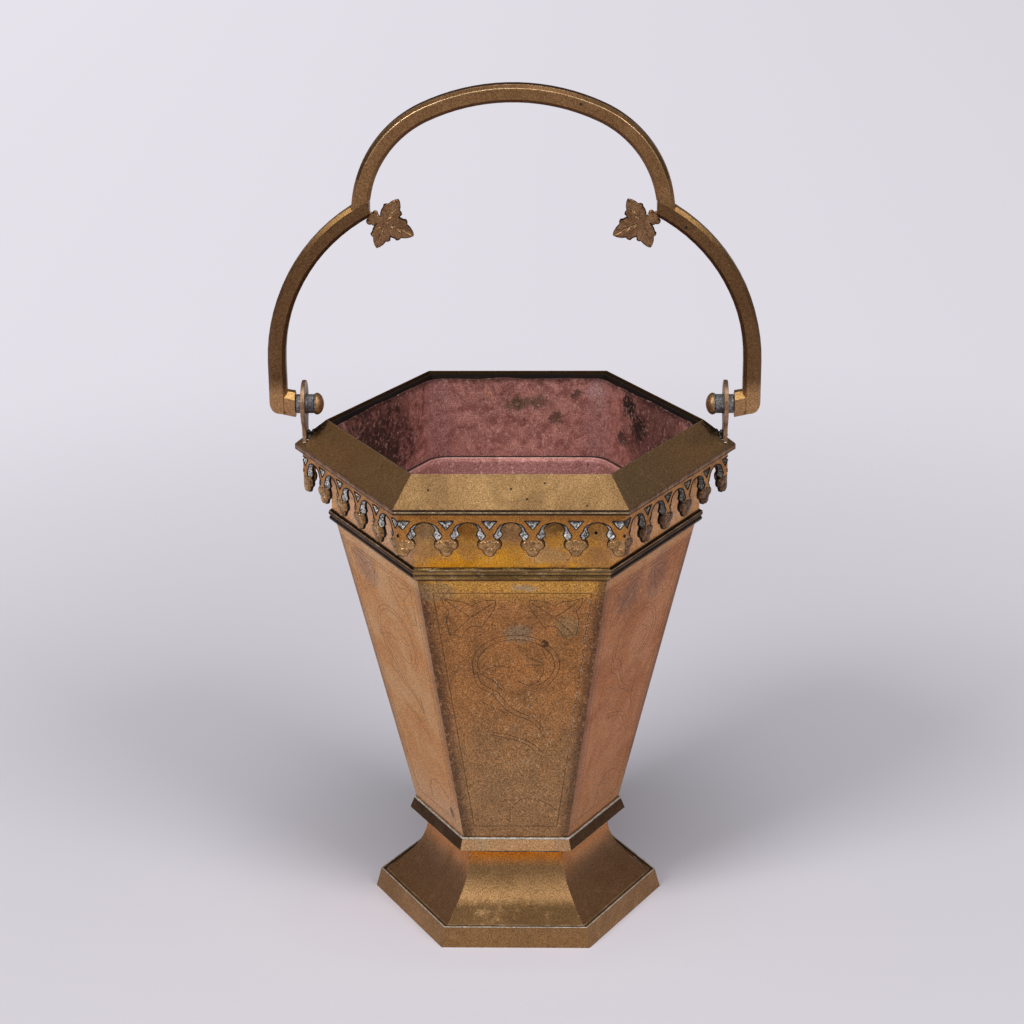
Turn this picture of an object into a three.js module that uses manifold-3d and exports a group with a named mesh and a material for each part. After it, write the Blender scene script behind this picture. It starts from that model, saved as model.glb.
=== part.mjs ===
// Holy water bucket: a six-sided brass vessel on a flared foot, with a copper liner, a gothic
// cresting of open arches hung under its rim, and a bail of three arcs that swings in two ears.
// Millimetres, +Z up. Two corners of the hexagon lie on the X axis, so a flat side faces -Y, the front.
// The origin is the centre of the foot, on the surface that the bucket stands on.
import * as THREE from 'three';
import { mergeVertices } from 'three/addons/utils/BufferGeometryUtils.js';
import Module from 'manifold-3d';

const wasm = await Module();
wasm.setup();

// General
const sideCount = 6;
const seatGap = 0.3; // between soldered pieces that don't meet on a level face
const sheet = 1.2; // brass sheet of body, frieze and rim
const cutOverrun = 8; // how far cutting bodies reach past what they cut
const weldDistance = 1e-4; // corners closer than this are one corner

// Plinth and foot
const plinthBottomRadius = 68.5; // all radii of six-sided pieces are taken to the corners
const plinthSplay = 2.6; // the plinth's top is this much smaller
const plinthHeight = 9.4;
const plinthWall = 4.2;
const ledgeDepth = 1.5; // the foot's lower edge stands this far below the plinth's top
const ledgeRimWidth = 0.8;
const ledgeShelfWidth = 3.6;
const ledgeShelfThickness = 1.4;
const neckStep = 5; // the neck is this much smaller than the foot of the body
const neckHeight = 8.2;
const footHeight = 42.2; // plinth, cove and neck
const coveSwell = 1.5; // how far the cove's drawing point stands out from the neck
const coveDrawShare = 0.54; // how far up the cove that point lies
const footSheet = 1.6;
const coveSteps = 7;

// Collar and body
const collarHeight = 5.4;
const collarSpread = 3.3; // the collar's lower edge stands this far outside the body
const collarTopLand = 0.7;
const floorThickness = 1.5;
const bodyBottomRadius = 48;
const bodyTopRadius = 82.1;
const bodyHeight = 140;
const panelLap = 3.3; // how far the panels run up behind the moulding

// Shoulder moulding and frieze
const mouldingHeight = 6.4;
const upperBeadProud = 1.15;
const upperBeadHeight = 3.1;
const lowerBeadProud = 0.75;
const grooveProud = 0.45;
const beadSteps = 4;
const friezeStep = 1.9; // the frieze stands this far outside the top of the body
const friezeHeight = 45;

// Rim
const rimFit = 0.8; // between the frieze and the rim's upstand
const rimReach = 15.2; // from the inner to the outer edge
const rimStand = 1.5; // above the frieze
const rimDrop = 11.8; // the outer edge lies this much lower than the inner one
const rimLipHeight = 2.4;
const rimCollarHeight = 4.6; // inner upstand that grips the frieze

// Cresting
const crestSetback = 3.6; // behind the rim's outer edge
const crestThickness = 2.2;
const crestEdge = 0.8; // square part of its edge, at the back
const crestEndMargin = 2.2; // from each corner to the middle of the last pendant
const crestArches = 5;
const crestRailHeight = 8; // above the crowns of the arches
const crestDepth = 23.5; // from the rail's top to the pendants' tips
const archHeadRadius = 4.6;
const archHeadRise = 3.6;
const cuspDrop = 2; // below the springing of the arch heads
const cuspReach = 1.1; // how far each cusp stands into the arch
const flankWidth = 1.6; // sloping flanks of the arches
const flankCrownWidth = 0.5;
const stemHalfWidth = 1.5; // flat front of the stem between two flanks
const pendantTipRadius = 2.6;
const pendantLobeRadius = 2.5;
const pendantLobeRise = 5.6; // above the tip
const pendantLobeOffset = 2.7;
const pendantBevel = 0.5;
const lobeTopAngle = 115; // of the left lobe
const lobeFootAngle = 265;
const tipSideAngle = 190;
const quarterAngle = 90;
const recessWeb = 1.2; // flat metal between a chip-carved recess and the arch beside it
const recessRise = 1.2; // above the crowns of the arches
const recessHeight = 4.1;
const recessDepth = 1.5;
const recessSides = 3;
const overrunShare = 1.5; // how much larger the recess's cutting cone is than the recess
const crestArcSteps = 4;

// Liner
const linerSheet = 1;
const linerDrop = 3.4; // below the top of the frieze
const linerCornerRadius = 11; // of its bent corners, inside
const linerCornerSteps = 5;
const ledgeRise = 3.9; // top of the liner's ledge above the joint of body and frieze
const ledgeInset = 3.8; // how far the ledge stands in from the neck of the liner
const ledgeNose = 1.5; // rounding of the ledge's edge

// Ears and hinge
const pinRise = 7.3; // above the rim
const pinRadius = 4.3;
const pinClearance = 0.45; // radial, in the ear's eye
const earInset = 5.2; // from the rim's corner to the middle of the plate
const earThickness = 1.9;
const earEyeRadius = 10.8;
const earStemWidth = 11;
const earStemBlend = 5;
const pinOutReach = 3.6; // from the middle of the ear to the pin's shoulders
const pinInReach = 4.6;
const tenonRadius = 2.6;
const tenonLength = 5;
const spigotRadius = 2.3;
const spigotLength = 2.6;
const headRadius = 5;
const headHeight = 4.2;
const headBand = 0.9;
const headSteps = 6;
const roundSides = 24;

// Bail
const barSize = 8;
const barChamfer = 1.6;
const crownHalfSpan = 67; // middle line of the bar
const crownArchRise = 53.4; // above its springing
const crownHaunchShare = 0.927; // radius of the haunches, as a share of that rise
const crownSink = 3.6; // its springing lies this much below the top of the side arcs at its outer face
const sideRadius = 79.4;
const sideSpringing = 20.5; // above the pins
const crownTopSteps = 12;
const crownHaunchSteps = 9;
const sideSteps = 16;
const arcCutSteps = 160; // sides of the round cutter that seats the crown on the side arcs
const armReach = 7.9; // from the pin's shoulder to the middle of the leg
const armHeight = 11.6;
const armDepth = 9.4;
const armChamfer = 2.8;
const armDroop = 2.2; // the arm's end lies this much lower than its root
const elbowRadius = 4.8; // outer lower corner, where the leg turns into the arm

// Leaves at the cusps
const leafThickness = 2;
const leafReach = 6.8; // from the crown's inner face to the leaf's centre
const leafDrop = 7.6; // below the middle of the side arc's end
const leafAxisAngle = 25; // degrees below the level
const leafSideAngle = 85;
const leafMiddleLength = 13.6;
const leafSideLength = 12;
const leafStemWidth = 3.4;
const leafBudRadius = 3.2;
const leafBudReach = 5.4; // from the leaf's centre back along its stem
// Half outline of one leaflet: along its rib and across it, both as shares of its length
const leafletShares = [
  [0, 0.16],
  [0.1, 0.27],
  [0.22, 0.34],
  [0.36, 0.37],
  [0.48, 0.36],
  [0.57, 0.39],
  [0.64, 0.33],
  [0.67, 0.25],
  [0.8, 0.2],
  [0.93, 0.11],
  [1, 0.03],
];

// Colours
const paints = {
  brass: { color: 0x9a7236, roughness: 0.42, metalness: 0.9 },
  rimBrass: { color: 0x8a6a3c, roughness: 0.4, metalness: 0.9 },
  friezeBrass: { color: 0xb87a26, roughness: 0.38, metalness: 0.9 },
  footBrass: { color: 0x7c5a30, roughness: 0.4, metalness: 0.9 },
  darkBrass: { color: 0x4a3620, roughness: 0.45, metalness: 0.9 },
  castBronze: { color: 0x6e4e2c, roughness: 0.45, metalness: 0.9 },
  copper: { color: 0x8e5650, roughness: 0.6, metalness: 0.7 },
  oxidisedPin: { color: 0x66686c, roughness: 0.55, metalness: 0.8 },
};

// Hexagon and section helpers
const sideAngle = (2 * Math.PI) / sideCount;
const halfSideAngle = sideAngle / 2;
const cornerToFlat = Math.cos(halfSideAngle);
const halfSidePerFlat = Math.tan(halfSideAngle);
const flat = (cornerRadius) => cornerRadius * cornerToFlat;
const point = (x, y) => new THREE.Vector2(x, y);
const degrees = (angle) => THREE.MathUtils.degToRad(angle);

const group = new THREE.Group();

function addPiece(name, geometry, paint, parent = group) {
  const mesh = new THREE.Mesh(facingOut(geometry), new THREE.MeshStandardMaterial(paints[paint]));
  mesh.name = name;
  parent.add(mesh);
  return mesh;
}

function welded(geometry) {
  geometry.deleteAttribute('normal');
  geometry.deleteAttribute('uv');
  return mergeVertices(geometry, weldDistance);
}

function facingOut(geometry) {
  const mesh = welded(geometry);
  const corners = mesh.attributes.position;
  const order = mesh.index.array;
  const [a, b, c] = [new THREE.Vector3(), new THREE.Vector3(), new THREE.Vector3()];
  let volume = 0;
  for (let i = 0; i < order.length; i += 3) {
    a.fromBufferAttribute(corners, order[i]);
    b.fromBufferAttribute(corners, order[i + 1]);
    c.fromBufferAttribute(corners, order[i + 2]);
    volume += a.dot(b.cross(c));
  }
  if (volume < 0) {
    for (let i = 0; i < order.length; i += 3) {
      [order[i], order[i + 1]] = [order[i + 1], order[i]];
    }
  }
  mesh.computeVertexNormals();
  return mesh;
}

function toSolid(geometry) {
  const mesh = facingOut(geometry);
  const vertProperties = new Float32Array(mesh.attributes.position.array);
  const triVerts = new Uint32Array(mesh.index.array);
  return new wasm.Manifold(new wasm.Mesh({ numProp: 3, vertProperties, triVerts }));
}

function toGeometry(solid) {
  const mesh = solid.getMesh();
  const geometry = new THREE.BufferGeometry();
  geometry.setAttribute('position', new THREE.BufferAttribute(new Float32Array(mesh.vertProperties), 3));
  geometry.setIndex(new THREE.BufferAttribute(new Uint32Array(mesh.triVerts), 1));
  return geometry;
}

// A length of section, mitred at both ends, that makes one side of the hexagon. Section points are
// (distance of that flat side from the axis, height).
function mitredStrip(sectionPoints) {
  const shape = new THREE.Shape(sectionPoints);
  const strip = new THREE.ExtrudeGeometry(shape, { depth: 1, steps: 1, bevelEnabled: false });
  const corners = strip.attributes.position;
  for (let i = 0; i < corners.count; i += 1) {
    const [out, height] = [corners.getX(i), corners.getY(i)];
    const end = corners.getZ(i) > 0.5 ? 1 : -1;
    const halfLength = out * halfSidePerFlat - seatGap / 2 / cornerToFlat;
    corners.setXYZ(i, end * halfLength, -out, height);
  }
  return strip;
}

// A closed six-sided ring from a profile of (corner radius, height)
function hexRing(profilePoints) {
  const ring = new THREE.LatheGeometry([...profilePoints, profilePoints[0]], sideCount, halfSideAngle);
  ring.rotateX(Math.PI / 2);
  return ring;
}

function hexPlate(cornerRadius, bottom, thickness) {
  const plate = new THREE.CylinderGeometry(
    cornerRadius, cornerRadius, thickness, sideCount, 1, false, halfSideAngle,
  );
  plate.rotateX(Math.PI / 2);
  plate.translate(0, 0, bottom + thickness / 2);
  return plate;
}

const sideNames = ['front', 'front_right', 'back_right', 'back', 'back_left', 'front_left'];

// One copy of a piece on each side of the hexagon, starting at the front
function addOnEachSide(baseName, geometry, paint) {
  sideNames.forEach((side, index) => {
    const holder = new THREE.Group();
    holder.rotation.z = index * sideAngle;
    addPiece(`${baseName}_${side}`, geometry.clone(), paint, holder);
    group.add(holder);
  });
}

// Plinth: a splayed band with an inner ledge that the foot stands on
const plinthTopRadius = plinthBottomRadius - plinthSplay;
const ledgeHeight = plinthHeight - ledgeDepth;
const ledgeRimInner = flat(plinthTopRadius) - ledgeRimWidth;
const plinthSection = [
  point(flat(plinthBottomRadius), 0),
  point(flat(plinthTopRadius), plinthHeight),
  point(ledgeRimInner, plinthHeight),
  point(ledgeRimInner, ledgeHeight),
  point(ledgeRimInner - ledgeShelfWidth, ledgeHeight),
  point(ledgeRimInner - ledgeShelfWidth, ledgeHeight - ledgeShelfThickness),
  point(flat(plinthTopRadius) - plinthWall, ledgeHeight - ledgeShelfThickness),
  point(flat(plinthBottomRadius) - plinthWall, 0),
];
addOnEachSide('plinth', mitredStrip(plinthSection), 'footBrass');

// Foot: a hollow cove in six gores, from a straight neck down to the ledge
const neckFlat = flat(bodyBottomRadius - neckStep);
const neckTopHeight = footHeight;
const neckBottomHeight = neckTopHeight - neckHeight;
const coveEndFlat = ledgeRimInner - seatGap;
const coveCurve = new THREE.QuadraticBezierCurve(
  point(neckFlat, neckBottomHeight),
  point(neckFlat + coveSwell, THREE.MathUtils.lerp(ledgeHeight, neckBottomHeight, coveDrawShare)),
  point(coveEndFlat, ledgeHeight),
);
const coveOutside = coveCurve.getPoints(coveSteps);
const coveInside = coveOutside.slice(0, -1).map((outer, i) => {
  const along = coveCurve.getTangent(i / coveSteps);
  return point(outer.x + along.y * footSheet, outer.y - along.x * footSheet);
});
const coveEnd = coveCurve.getTangent(1);
const footInnerFoot = point(coveEndFlat + footSheet / coveEnd.y, ledgeHeight);
const footSection = [
  point(neckFlat, neckTopHeight),
  ...coveOutside,
  footInnerFoot,
  ...coveInside.reverse(),
  point(neckFlat - footSheet, neckTopHeight),
];
addOnEachSide('foot_gore', mitredStrip(footSection), 'footBrass');

// Body floor, which closes the body and stands on the neck
const floorBottom = neckTopHeight;
const floorTop = floorBottom + floorThickness;
const collarTopHeight = neckTopHeight + collarHeight;
const floorRadius = bodyBottomRadius - seatGap;
addPiece('body_floor', hexPlate(floorRadius, floorBottom, floorThickness), 'darkBrass');

// Collar: a bevelled strip round the joint of body and floor
const collarInner = flat(bodyBottomRadius) + seatGap;
const collarOuter = flat(bodyBottomRadius + collarSpread);
const collarSection = [
  point(collarInner, collarTopHeight),
  point(collarInner + collarTopLand, collarTopHeight),
  point(collarOuter, neckTopHeight),
  point(collarInner, neckTopHeight),
];
addOnEachSide('collar', mitredStrip(collarSection), 'footBrass');

// Body: six flat tapered panels
const bodyTopHeight = collarTopHeight + bodyHeight;
const panelTopHeight = bodyTopHeight + panelLap;
const bodySlope = (flat(bodyTopRadius) - flat(bodyBottomRadius)) / (bodyTopHeight - collarTopHeight);
const bodyFlatAt = (height) => flat(bodyBottomRadius) + (height - collarTopHeight) * bodySlope;
const acrossWall = (thickness) => thickness * Math.hypot(1, bodySlope);
const bodyWall = acrossWall(sheet);
const panelSection = [
  point(bodyFlatAt(floorTop), floorTop),
  point(bodyFlatAt(panelTopHeight), panelTopHeight),
  point(bodyFlatAt(panelTopHeight) - bodyWall, panelTopHeight),
  point(bodyFlatAt(floorTop) - bodyWall, floorTop),
];
addOnEachSide('body_panel', mitredStrip(panelSection), 'brass');

// Frieze: the upright band above the body
const friezeRadius = bodyTopRadius + friezeStep;
const friezeFlat = flat(friezeRadius);
const friezeBottomHeight = panelTopHeight + seatGap;
const friezeTopHeight = friezeBottomHeight + friezeHeight;
const friezeInnerRadius = (friezeFlat - sheet) / cornerToFlat;
const friezeProfile = [
  point(friezeRadius, friezeBottomHeight),
  point(friezeRadius, friezeTopHeight),
  point(friezeInnerRadius, friezeTopHeight),
  point(friezeInnerRadius, friezeBottomHeight),
];
addPiece('frieze_band', hexRing(friezeProfile), 'friezeBrass');

// Shoulder moulding: two beads over the joint of body and frieze
const mouldingBottom = friezeBottomHeight + upperBeadHeight - mouldingHeight;
const mouldingTop = mouldingBottom + mouldingHeight;
const grooveHeight = mouldingTop - upperBeadHeight;
const mouldingBack = friezeFlat + seatGap;
const lowerBack = bodyFlatAt(mouldingBottom) + seatGap;
const bead = (fromOut, fromHeight, toOut, toHeight, proud) => {
  const curve = new THREE.QuadraticBezierCurve(
    point(fromOut, fromHeight),
    point(2 * (mouldingBack + proud) - (fromOut + toOut) / 2, (fromHeight + toHeight) / 2),
    point(toOut, toHeight),
  );
  return curve.getPoints(beadSteps);
};
const mouldingSection = [
  ...bead(mouldingBack, mouldingTop, mouldingBack + grooveProud, grooveHeight, upperBeadProud),
  ...bead(mouldingBack + grooveProud, grooveHeight, lowerBack, mouldingBottom, lowerBeadProud).slice(1),
  point(bodyFlatAt(panelTopHeight) + seatGap, panelTopHeight),
  point(mouldingBack, panelTopHeight),
];
addOnEachSide('shoulder_moulding', mitredStrip(mouldingSection), 'darkBrass');

// Rim: a sloping flange with an outer lip and an inner upstand, in six mitred lengths
const rimInnerRadius = friezeRadius + rimFit;
const rimOuterRadius = rimInnerRadius + rimReach;
const rimTopHeight = friezeTopHeight + rimStand;
const rimEdgeHeight = rimTopHeight - rimDrop;
const rimInner = flat(rimInnerRadius);
const rimOuter = flat(rimOuterRadius);
const rimSlope = (rimTopHeight - rimEdgeHeight) / (rimOuter - rimInner);
const rimTopAt = (out) => rimTopHeight - (out - rimInner) * rimSlope;
const rimUnder = sheet * Math.hypot(1, rimSlope);
const rimSection = [
  point(rimInner, rimTopHeight),
  point(rimOuter, rimEdgeHeight),
  point(rimOuter, rimEdgeHeight - rimLipHeight),
  point(rimOuter - sheet, rimEdgeHeight - rimLipHeight),
  point(rimOuter - sheet, rimTopAt(rimOuter - sheet) - rimUnder),
  point(rimInner + sheet, rimTopAt(rimInner + sheet) - rimUnder),
  point(rimInner + sheet, rimTopHeight - rimCollarHeight),
  point(rimInner, rimTopHeight - rimCollarHeight),
];
addOnEachSide('rim', mitredStrip(rimSection), 'rimBrass');

// Cresting: an arcade of cusped arches with sloping flanks, trefoil pendants and chip-carved recesses
const crestFaceRadius = rimOuterRadius - crestSetback;
const crestFace = flat(crestFaceRadius);
const crestPitch = (crestFaceRadius - 2 * crestEndMargin) / crestArches;
const crestTopHeight = rimTopAt(crestFace) - rimUnder - seatGap;
const archCrownHeight = crestTopHeight - crestRailHeight;
const archHeadHeight = archCrownHeight - archHeadRise;
const pendantBottomHeight = crestTopHeight - crestDepth;
const pendantXs = Array.from({ length: crestArches + 1 }, (_, i) => (i - crestArches / 2) * crestPitch);

// The lower edge past one pendant, from the crown of one arch to the crown of the next
function traceUnit(outline, pendantX, drawn) {
  const archReach = crestPitch / 2;
  const cuspHeight = archHeadHeight - cuspDrop;
  const lobeHeight = pendantBottomHeight + pendantLobeRise;
  const steps = (fromX, fromZ, across, upward, from, to) => {
    for (let i = 0; i <= crestArcSteps; i += 1) {
      const turn = degrees(from + ((to - from) * i) / crestArcSteps);
      outline.push(point(fromX + across * Math.cos(turn), fromZ + upward * Math.sin(turn)));
    }
  };
  const round = (fromX, fromZ, radius, from, to) => steps(fromX, fromZ, radius, radius, from, to);
  const lobe = pendantLobeRadius - drawn.bevel;
  const half = 2 * quarterAngle;
  steps(pendantX - archReach, archHeadHeight, drawn.headRadius, drawn.headRise, quarterAngle, 0);
  outline.push(point(pendantX - drawn.cusp, cuspHeight));
  round(pendantX - pendantLobeOffset, lobeHeight, lobe, lobeTopAngle, lobeFootAngle);
  round(
    pendantX, pendantBottomHeight + pendantTipRadius, pendantTipRadius - drawn.bevel,
    tipSideAngle, 3 * half - tipSideAngle,
  );
  round(pendantX + pendantLobeOffset, lobeHeight, lobe, half - lobeFootAngle, half - lobeTopAngle);
  outline.push(point(pendantX + drawn.cusp, cuspHeight));
  steps(pendantX + archReach, archHeadHeight, drawn.headRadius, drawn.headRise, half, quarterAngle);
  outline.pop();
}

function arcadeOutline(drawn) {
  const outline = [];
  pendantXs.forEach((x) => traceUnit(outline, x, drawn));
  const lastX = pendantXs[crestArches] + crestPitch / 2;
  outline.push(point(lastX, archHeadHeight + drawn.headRise));
  outline.push(point(lastX, crestTopHeight));
  outline.push(point(-lastX, crestTopHeight));
  return outline;
}

// A plate whose edge is square at the back and then slopes in to a smaller front outline
function flankedPlate(backOutline, frontOutline) {
  const rings = [
    [backOutline, crestThickness],
    [backOutline, crestThickness - crestEdge],
    [frontOutline, 0],
  ];
  const atDepth = (outline, depth) => outline.flatMap((at) => [at.x, depth - crestFace, at.y]);
  const corners = rings.flatMap(([outline, depth]) => atDepth(outline, depth));
  const count = backOutline.length;
  const order = [];
  for (let ring = 0; ring < rings.length - 1; ring += 1) {
    for (let i = 0; i < count; i += 1) {
      const here = ring * count + i;
      const next = ring * count + ((i + 1) % count);
      order.push(here, next, next + count, here, next + count, here + count);
    }
  }
  const front = (rings.length - 1) * count;
  THREE.ShapeUtils.triangulateShape(backOutline, []).forEach(([a, b, c]) => order.push(c, b, a));
  THREE.ShapeUtils.triangulateShape(frontOutline, []).forEach(([a, b, c]) => {
    order.push(front + a, front + b, front + c);
  });
  const plate = new THREE.BufferGeometry();
  plate.setAttribute('position', new THREE.Float32BufferAttribute(corners, 3));
  plate.setIndex(order);
  return plate;
}

// The cone that cuts one recess: a triangle on the front face, point down, that runs to a point inside
function recessCone(pendantX) {
  const third = (2 * Math.PI) / recessSides;
  const halfWidth = crestPitch / 2 - archHeadRadius - recessWeb;
  const unitHeight = 1 - Math.cos(third);
  const cone = new THREE.ConeGeometry(1, 1, recessSides);
  cone.translate(0, -1 / 2, 0);
  cone.scale(halfWidth / Math.sin(third), recessDepth, -recessHeight / unitHeight);
  cone.scale(overrunShare, overrunShare, overrunShare);
  const recessTop = archCrownHeight + recessRise;
  cone.translate(pendantX, recessDepth - crestFace, recessTop - recessHeight / recessSides);
  return cone;
}

function crestingStrip() {
  const cusp = crestPitch / 2 - archHeadRadius + cuspReach;
  const back = arcadeOutline({ headRadius: archHeadRadius, headRise: archHeadRise, cusp, bevel: 0 });
  const front = arcadeOutline({
    headRadius: archHeadRadius + flankWidth,
    headRise: archHeadRise + flankCrownWidth,
    cusp: stemHalfWidth,
    bevel: pendantBevel,
  });
  const arcade = toSolid(flankedPlate(back, front));
  const carved = pendantXs.reduce((solid, x) => solid.subtract(toSolid(recessCone(x))), arcade);
  const wedgeDepth = crestFace + cutOverrun;
  const wedgeEnd = seatGap / 2 / cornerToFlat;
  const wedge = new THREE.ExtrudeGeometry(new THREE.Shape([
    point(0, wedgeEnd / halfSidePerFlat),
    point(wedgeDepth * halfSidePerFlat - wedgeEnd, wedgeDepth),
    point(wedgeEnd - wedgeDepth * halfSidePerFlat, wedgeDepth),
  ]), { depth: crestTopHeight, steps: 1, bevelEnabled: false });
  wedge.scale(1, -1, 1);
  wedge.translate(0, 0, cutOverrun);
  return toGeometry(carved.intersect(toSolid(wedge)));
}
addOnEachSide('cresting', crestingStrip(), 'castBronze');

// A closed ring with six bent corners, from a profile of (flat distance, height, corner radius)
function bentRing(profile) {
  const columns = sideCount * (linerCornerSteps + 1);
  const corners = profile.flatMap(([out, height, radius]) => Array.from({ length: columns }, (_, i) => {
    const corner = Math.floor(i / (linerCornerSteps + 1));
    const step = (i % (linerCornerSteps + 1)) / linerCornerSteps - 1 / 2;
    const toCorner = corner * sideAngle;
    const turn = toCorner + step * sideAngle;
    const reach = (out - radius) / cornerToFlat;
    return [
      reach * Math.cos(toCorner) + radius * Math.cos(turn),
      reach * Math.sin(toCorner) + radius * Math.sin(turn),
      height,
    ];
  })).flat();
  const order = [];
  profile.forEach((_, row) => {
    const nextRow = (row + 1) % profile.length;
    for (let i = 0; i < columns; i += 1) {
      const next = (i + 1) % columns;
      const [a, b] = [row * columns + i, row * columns + next];
      const [c, d] = [nextRow * columns + next, nextRow * columns + i];
      order.push(a, b, c, a, c, d);
    }
  });
  const ring = new THREE.BufferGeometry();
  ring.setAttribute('position', new THREE.Float32BufferAttribute(corners, 3));
  ring.setIndex(order);
  return ring;
}

// Copper liner: an upright neck, a ledge with a rounded nose, a tapered well and its own floor
const linerOutsideNeck = friezeFlat - sheet - seatGap;
const linerOutsideAt = (height) => bodyFlatAt(height) - bodyWall - seatGap;
const linerFloorBottom = floorTop + seatGap;
const linerTopHeight = friezeTopHeight - linerDrop;
const linerFloorTop = linerFloorBottom + linerSheet;
const linerLedgeHeight = friezeBottomHeight + ledgeRise;
const linerInsideNeck = linerOutsideNeck - linerSheet;
const noseOut = linerInsideNeck - ledgeInset + ledgeNose;
const noseFar = noseOut - ledgeNose * Math.SQRT1_2;
const noseFall = ledgeNose * (1 - Math.SQRT1_2);
const linerInsideCorner = linerCornerRadius;
const linerOutsideCorner = linerCornerRadius + linerSheet;
const linerProfile = [
  [linerOutsideNeck, linerTopHeight, linerOutsideCorner],
  [linerOutsideNeck, linerLedgeHeight - linerSheet, linerOutsideCorner],
  [noseOut, linerLedgeHeight - linerSheet, linerOutsideCorner],
  [noseOut - ledgeNose + linerSheet, linerLedgeHeight - ledgeNose, linerOutsideCorner],
  [linerOutsideAt(linerFloorTop), linerFloorTop, linerOutsideCorner],
  [linerOutsideAt(linerFloorTop) - acrossWall(linerSheet), linerFloorTop, linerInsideCorner],
  [noseOut - ledgeNose, linerLedgeHeight - ledgeNose, linerInsideCorner],
  [noseFar, linerLedgeHeight - noseFall, linerInsideCorner],
  [noseOut, linerLedgeHeight, linerInsideCorner],
  [linerInsideNeck, linerLedgeHeight, linerInsideCorner],
  [linerInsideNeck, linerTopHeight, linerInsideCorner],
];
addPiece('liner_wall', bentRing(linerProfile), 'copper');
const linerFloorRadius = linerOutsideAt(linerFloorBottom) / cornerToFlat;
addPiece('liner_floor', hexPlate(linerFloorRadius, linerFloorBottom, linerSheet), 'copper');

// Ears: upright keyhole plates astride the rim's side corners, cut to sit on the flange
const pinHeight = rimTopHeight + pinRise;
const earCentre = rimOuterRadius - earInset;
function rimEnvelope() {
  const reach = rimOuterRadius + cutOverrun;
  const lift = seatGap * Math.hypot(1, rimSlope);
  const heightAt = (cornerRadius) => rimTopAt(flat(cornerRadius)) + lift;
  const profile = [
    point(0, heightAt(reach) - cutOverrun),
    point(reach, heightAt(reach) - cutOverrun),
    point(reach, heightAt(reach)),
    point(rimInnerRadius, heightAt(rimInnerRadius)),
    point(0, heightAt(rimInnerRadius)),
  ];
  const envelope = new THREE.LatheGeometry(profile, sideCount, halfSideAngle);
  envelope.rotateX(Math.PI / 2);
  return envelope;
}

function earPlate() {
  const halfStem = earStemWidth / 2;
  const stemFoot = rimEdgeHeight - pinHeight;
  const blendTurn = Math.asin((halfStem + earStemBlend) / (earEyeRadius + earStemBlend));
  const blendDrop = (earEyeRadius + earStemBlend) * Math.cos(blendTurn);
  const quarter = Math.PI / 2;
  const outline = new THREE.Shape();
  outline.moveTo(halfStem, stemFoot);
  outline.lineTo(halfStem, -blendDrop);
  outline.absarc(halfStem + earStemBlend, -blendDrop, earStemBlend, Math.PI, quarter + blendTurn, true);
  outline.absarc(0, 0, earEyeRadius, blendTurn - quarter, 3 * quarter - blendTurn, false);
  outline.absarc(-halfStem - earStemBlend, -blendDrop, earStemBlend, quarter - blendTurn, 0, true);
  outline.lineTo(-halfStem, stemFoot);
  const eye = new THREE.Path();
  eye.absarc(0, 0, pinRadius + pinClearance, 0, 2 * Math.PI, true);
  outline.holes.push(eye);
  const plate = new THREE.ExtrudeGeometry(outline, {
    depth: earThickness, steps: 1, bevelEnabled: false, curveSegments: roundSides / 2,
  });
  plate.rotateX(Math.PI / 2);
  plate.rotateZ(Math.PI / 2);
  plate.translate(earCentre - earThickness / 2, 0, pinHeight);
  return toGeometry(toSolid(plate).subtract(toSolid(rimEnvelope())));
}

const mirrored = (geometry) => geometry.clone().scale(-1, 1, 1);

function addPair(baseName, geometry, paint) {
  addPiece(`${baseName}_right`, geometry, paint);
  addPiece(`${baseName}_left`, mirrored(geometry), paint);
}

addPair('ear', earPlate(), 'castBronze');

// Pins, shouldered at both ends, and their domed heads
function turned(profilePoints) {
  const round = new THREE.LatheGeometry(profilePoints, roundSides);
  round.rotateZ(-Math.PI / 2);
  round.translate(0, 0, pinHeight);
  return round;
}

const pinOuterEnd = earCentre + pinOutReach;
const pinInnerEnd = earCentre - pinInReach;
const spigotEnd = pinInnerEnd - spigotLength;
const pinProfile = [
  point(0, spigotEnd),
  point(spigotRadius, spigotEnd),
  point(spigotRadius, pinInnerEnd),
  point(pinRadius, pinInnerEnd),
  point(pinRadius, pinOuterEnd),
  point(tenonRadius, pinOuterEnd),
  point(tenonRadius, pinOuterEnd + tenonLength),
  point(0, pinOuterEnd + tenonLength),
];
addPair('bail_pin', turned(pinProfile), 'oxidisedPin');

const domeHeight = headHeight - headBand;
const dome = Array.from({ length: headSteps + 1 }, (_, i) => {
  const turn = (i / headSteps) * (Math.PI / 2);
  return point(headRadius * Math.sin(turn), pinInnerEnd - headBand - domeHeight * Math.cos(turn));
});
const headProfile = [
  ...dome,
  point(headRadius, pinInnerEnd),
  point(spigotRadius + seatGap, pinInnerEnd),
  point(spigotRadius + seatGap, spigotEnd - seatGap),
  point(0, spigotEnd - seatGap),
];
addPair('pin_head', turned(headProfile), 'castBronze');

// Bail: a three-centred crown and two side arcs of chamfered square bar
function barSection(width, depth, chamfer) {
  const [w, d] = [width / 2, depth / 2];
  return new THREE.Shape([
    point(w, d - chamfer),
    point(w - chamfer, d),
    point(chamfer - w, d),
    point(-w, d - chamfer),
    point(-w, chamfer - d),
    point(chamfer - w, -d),
    point(w - chamfer, -d),
    point(w, chamfer - d),
  ]);
}

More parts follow.
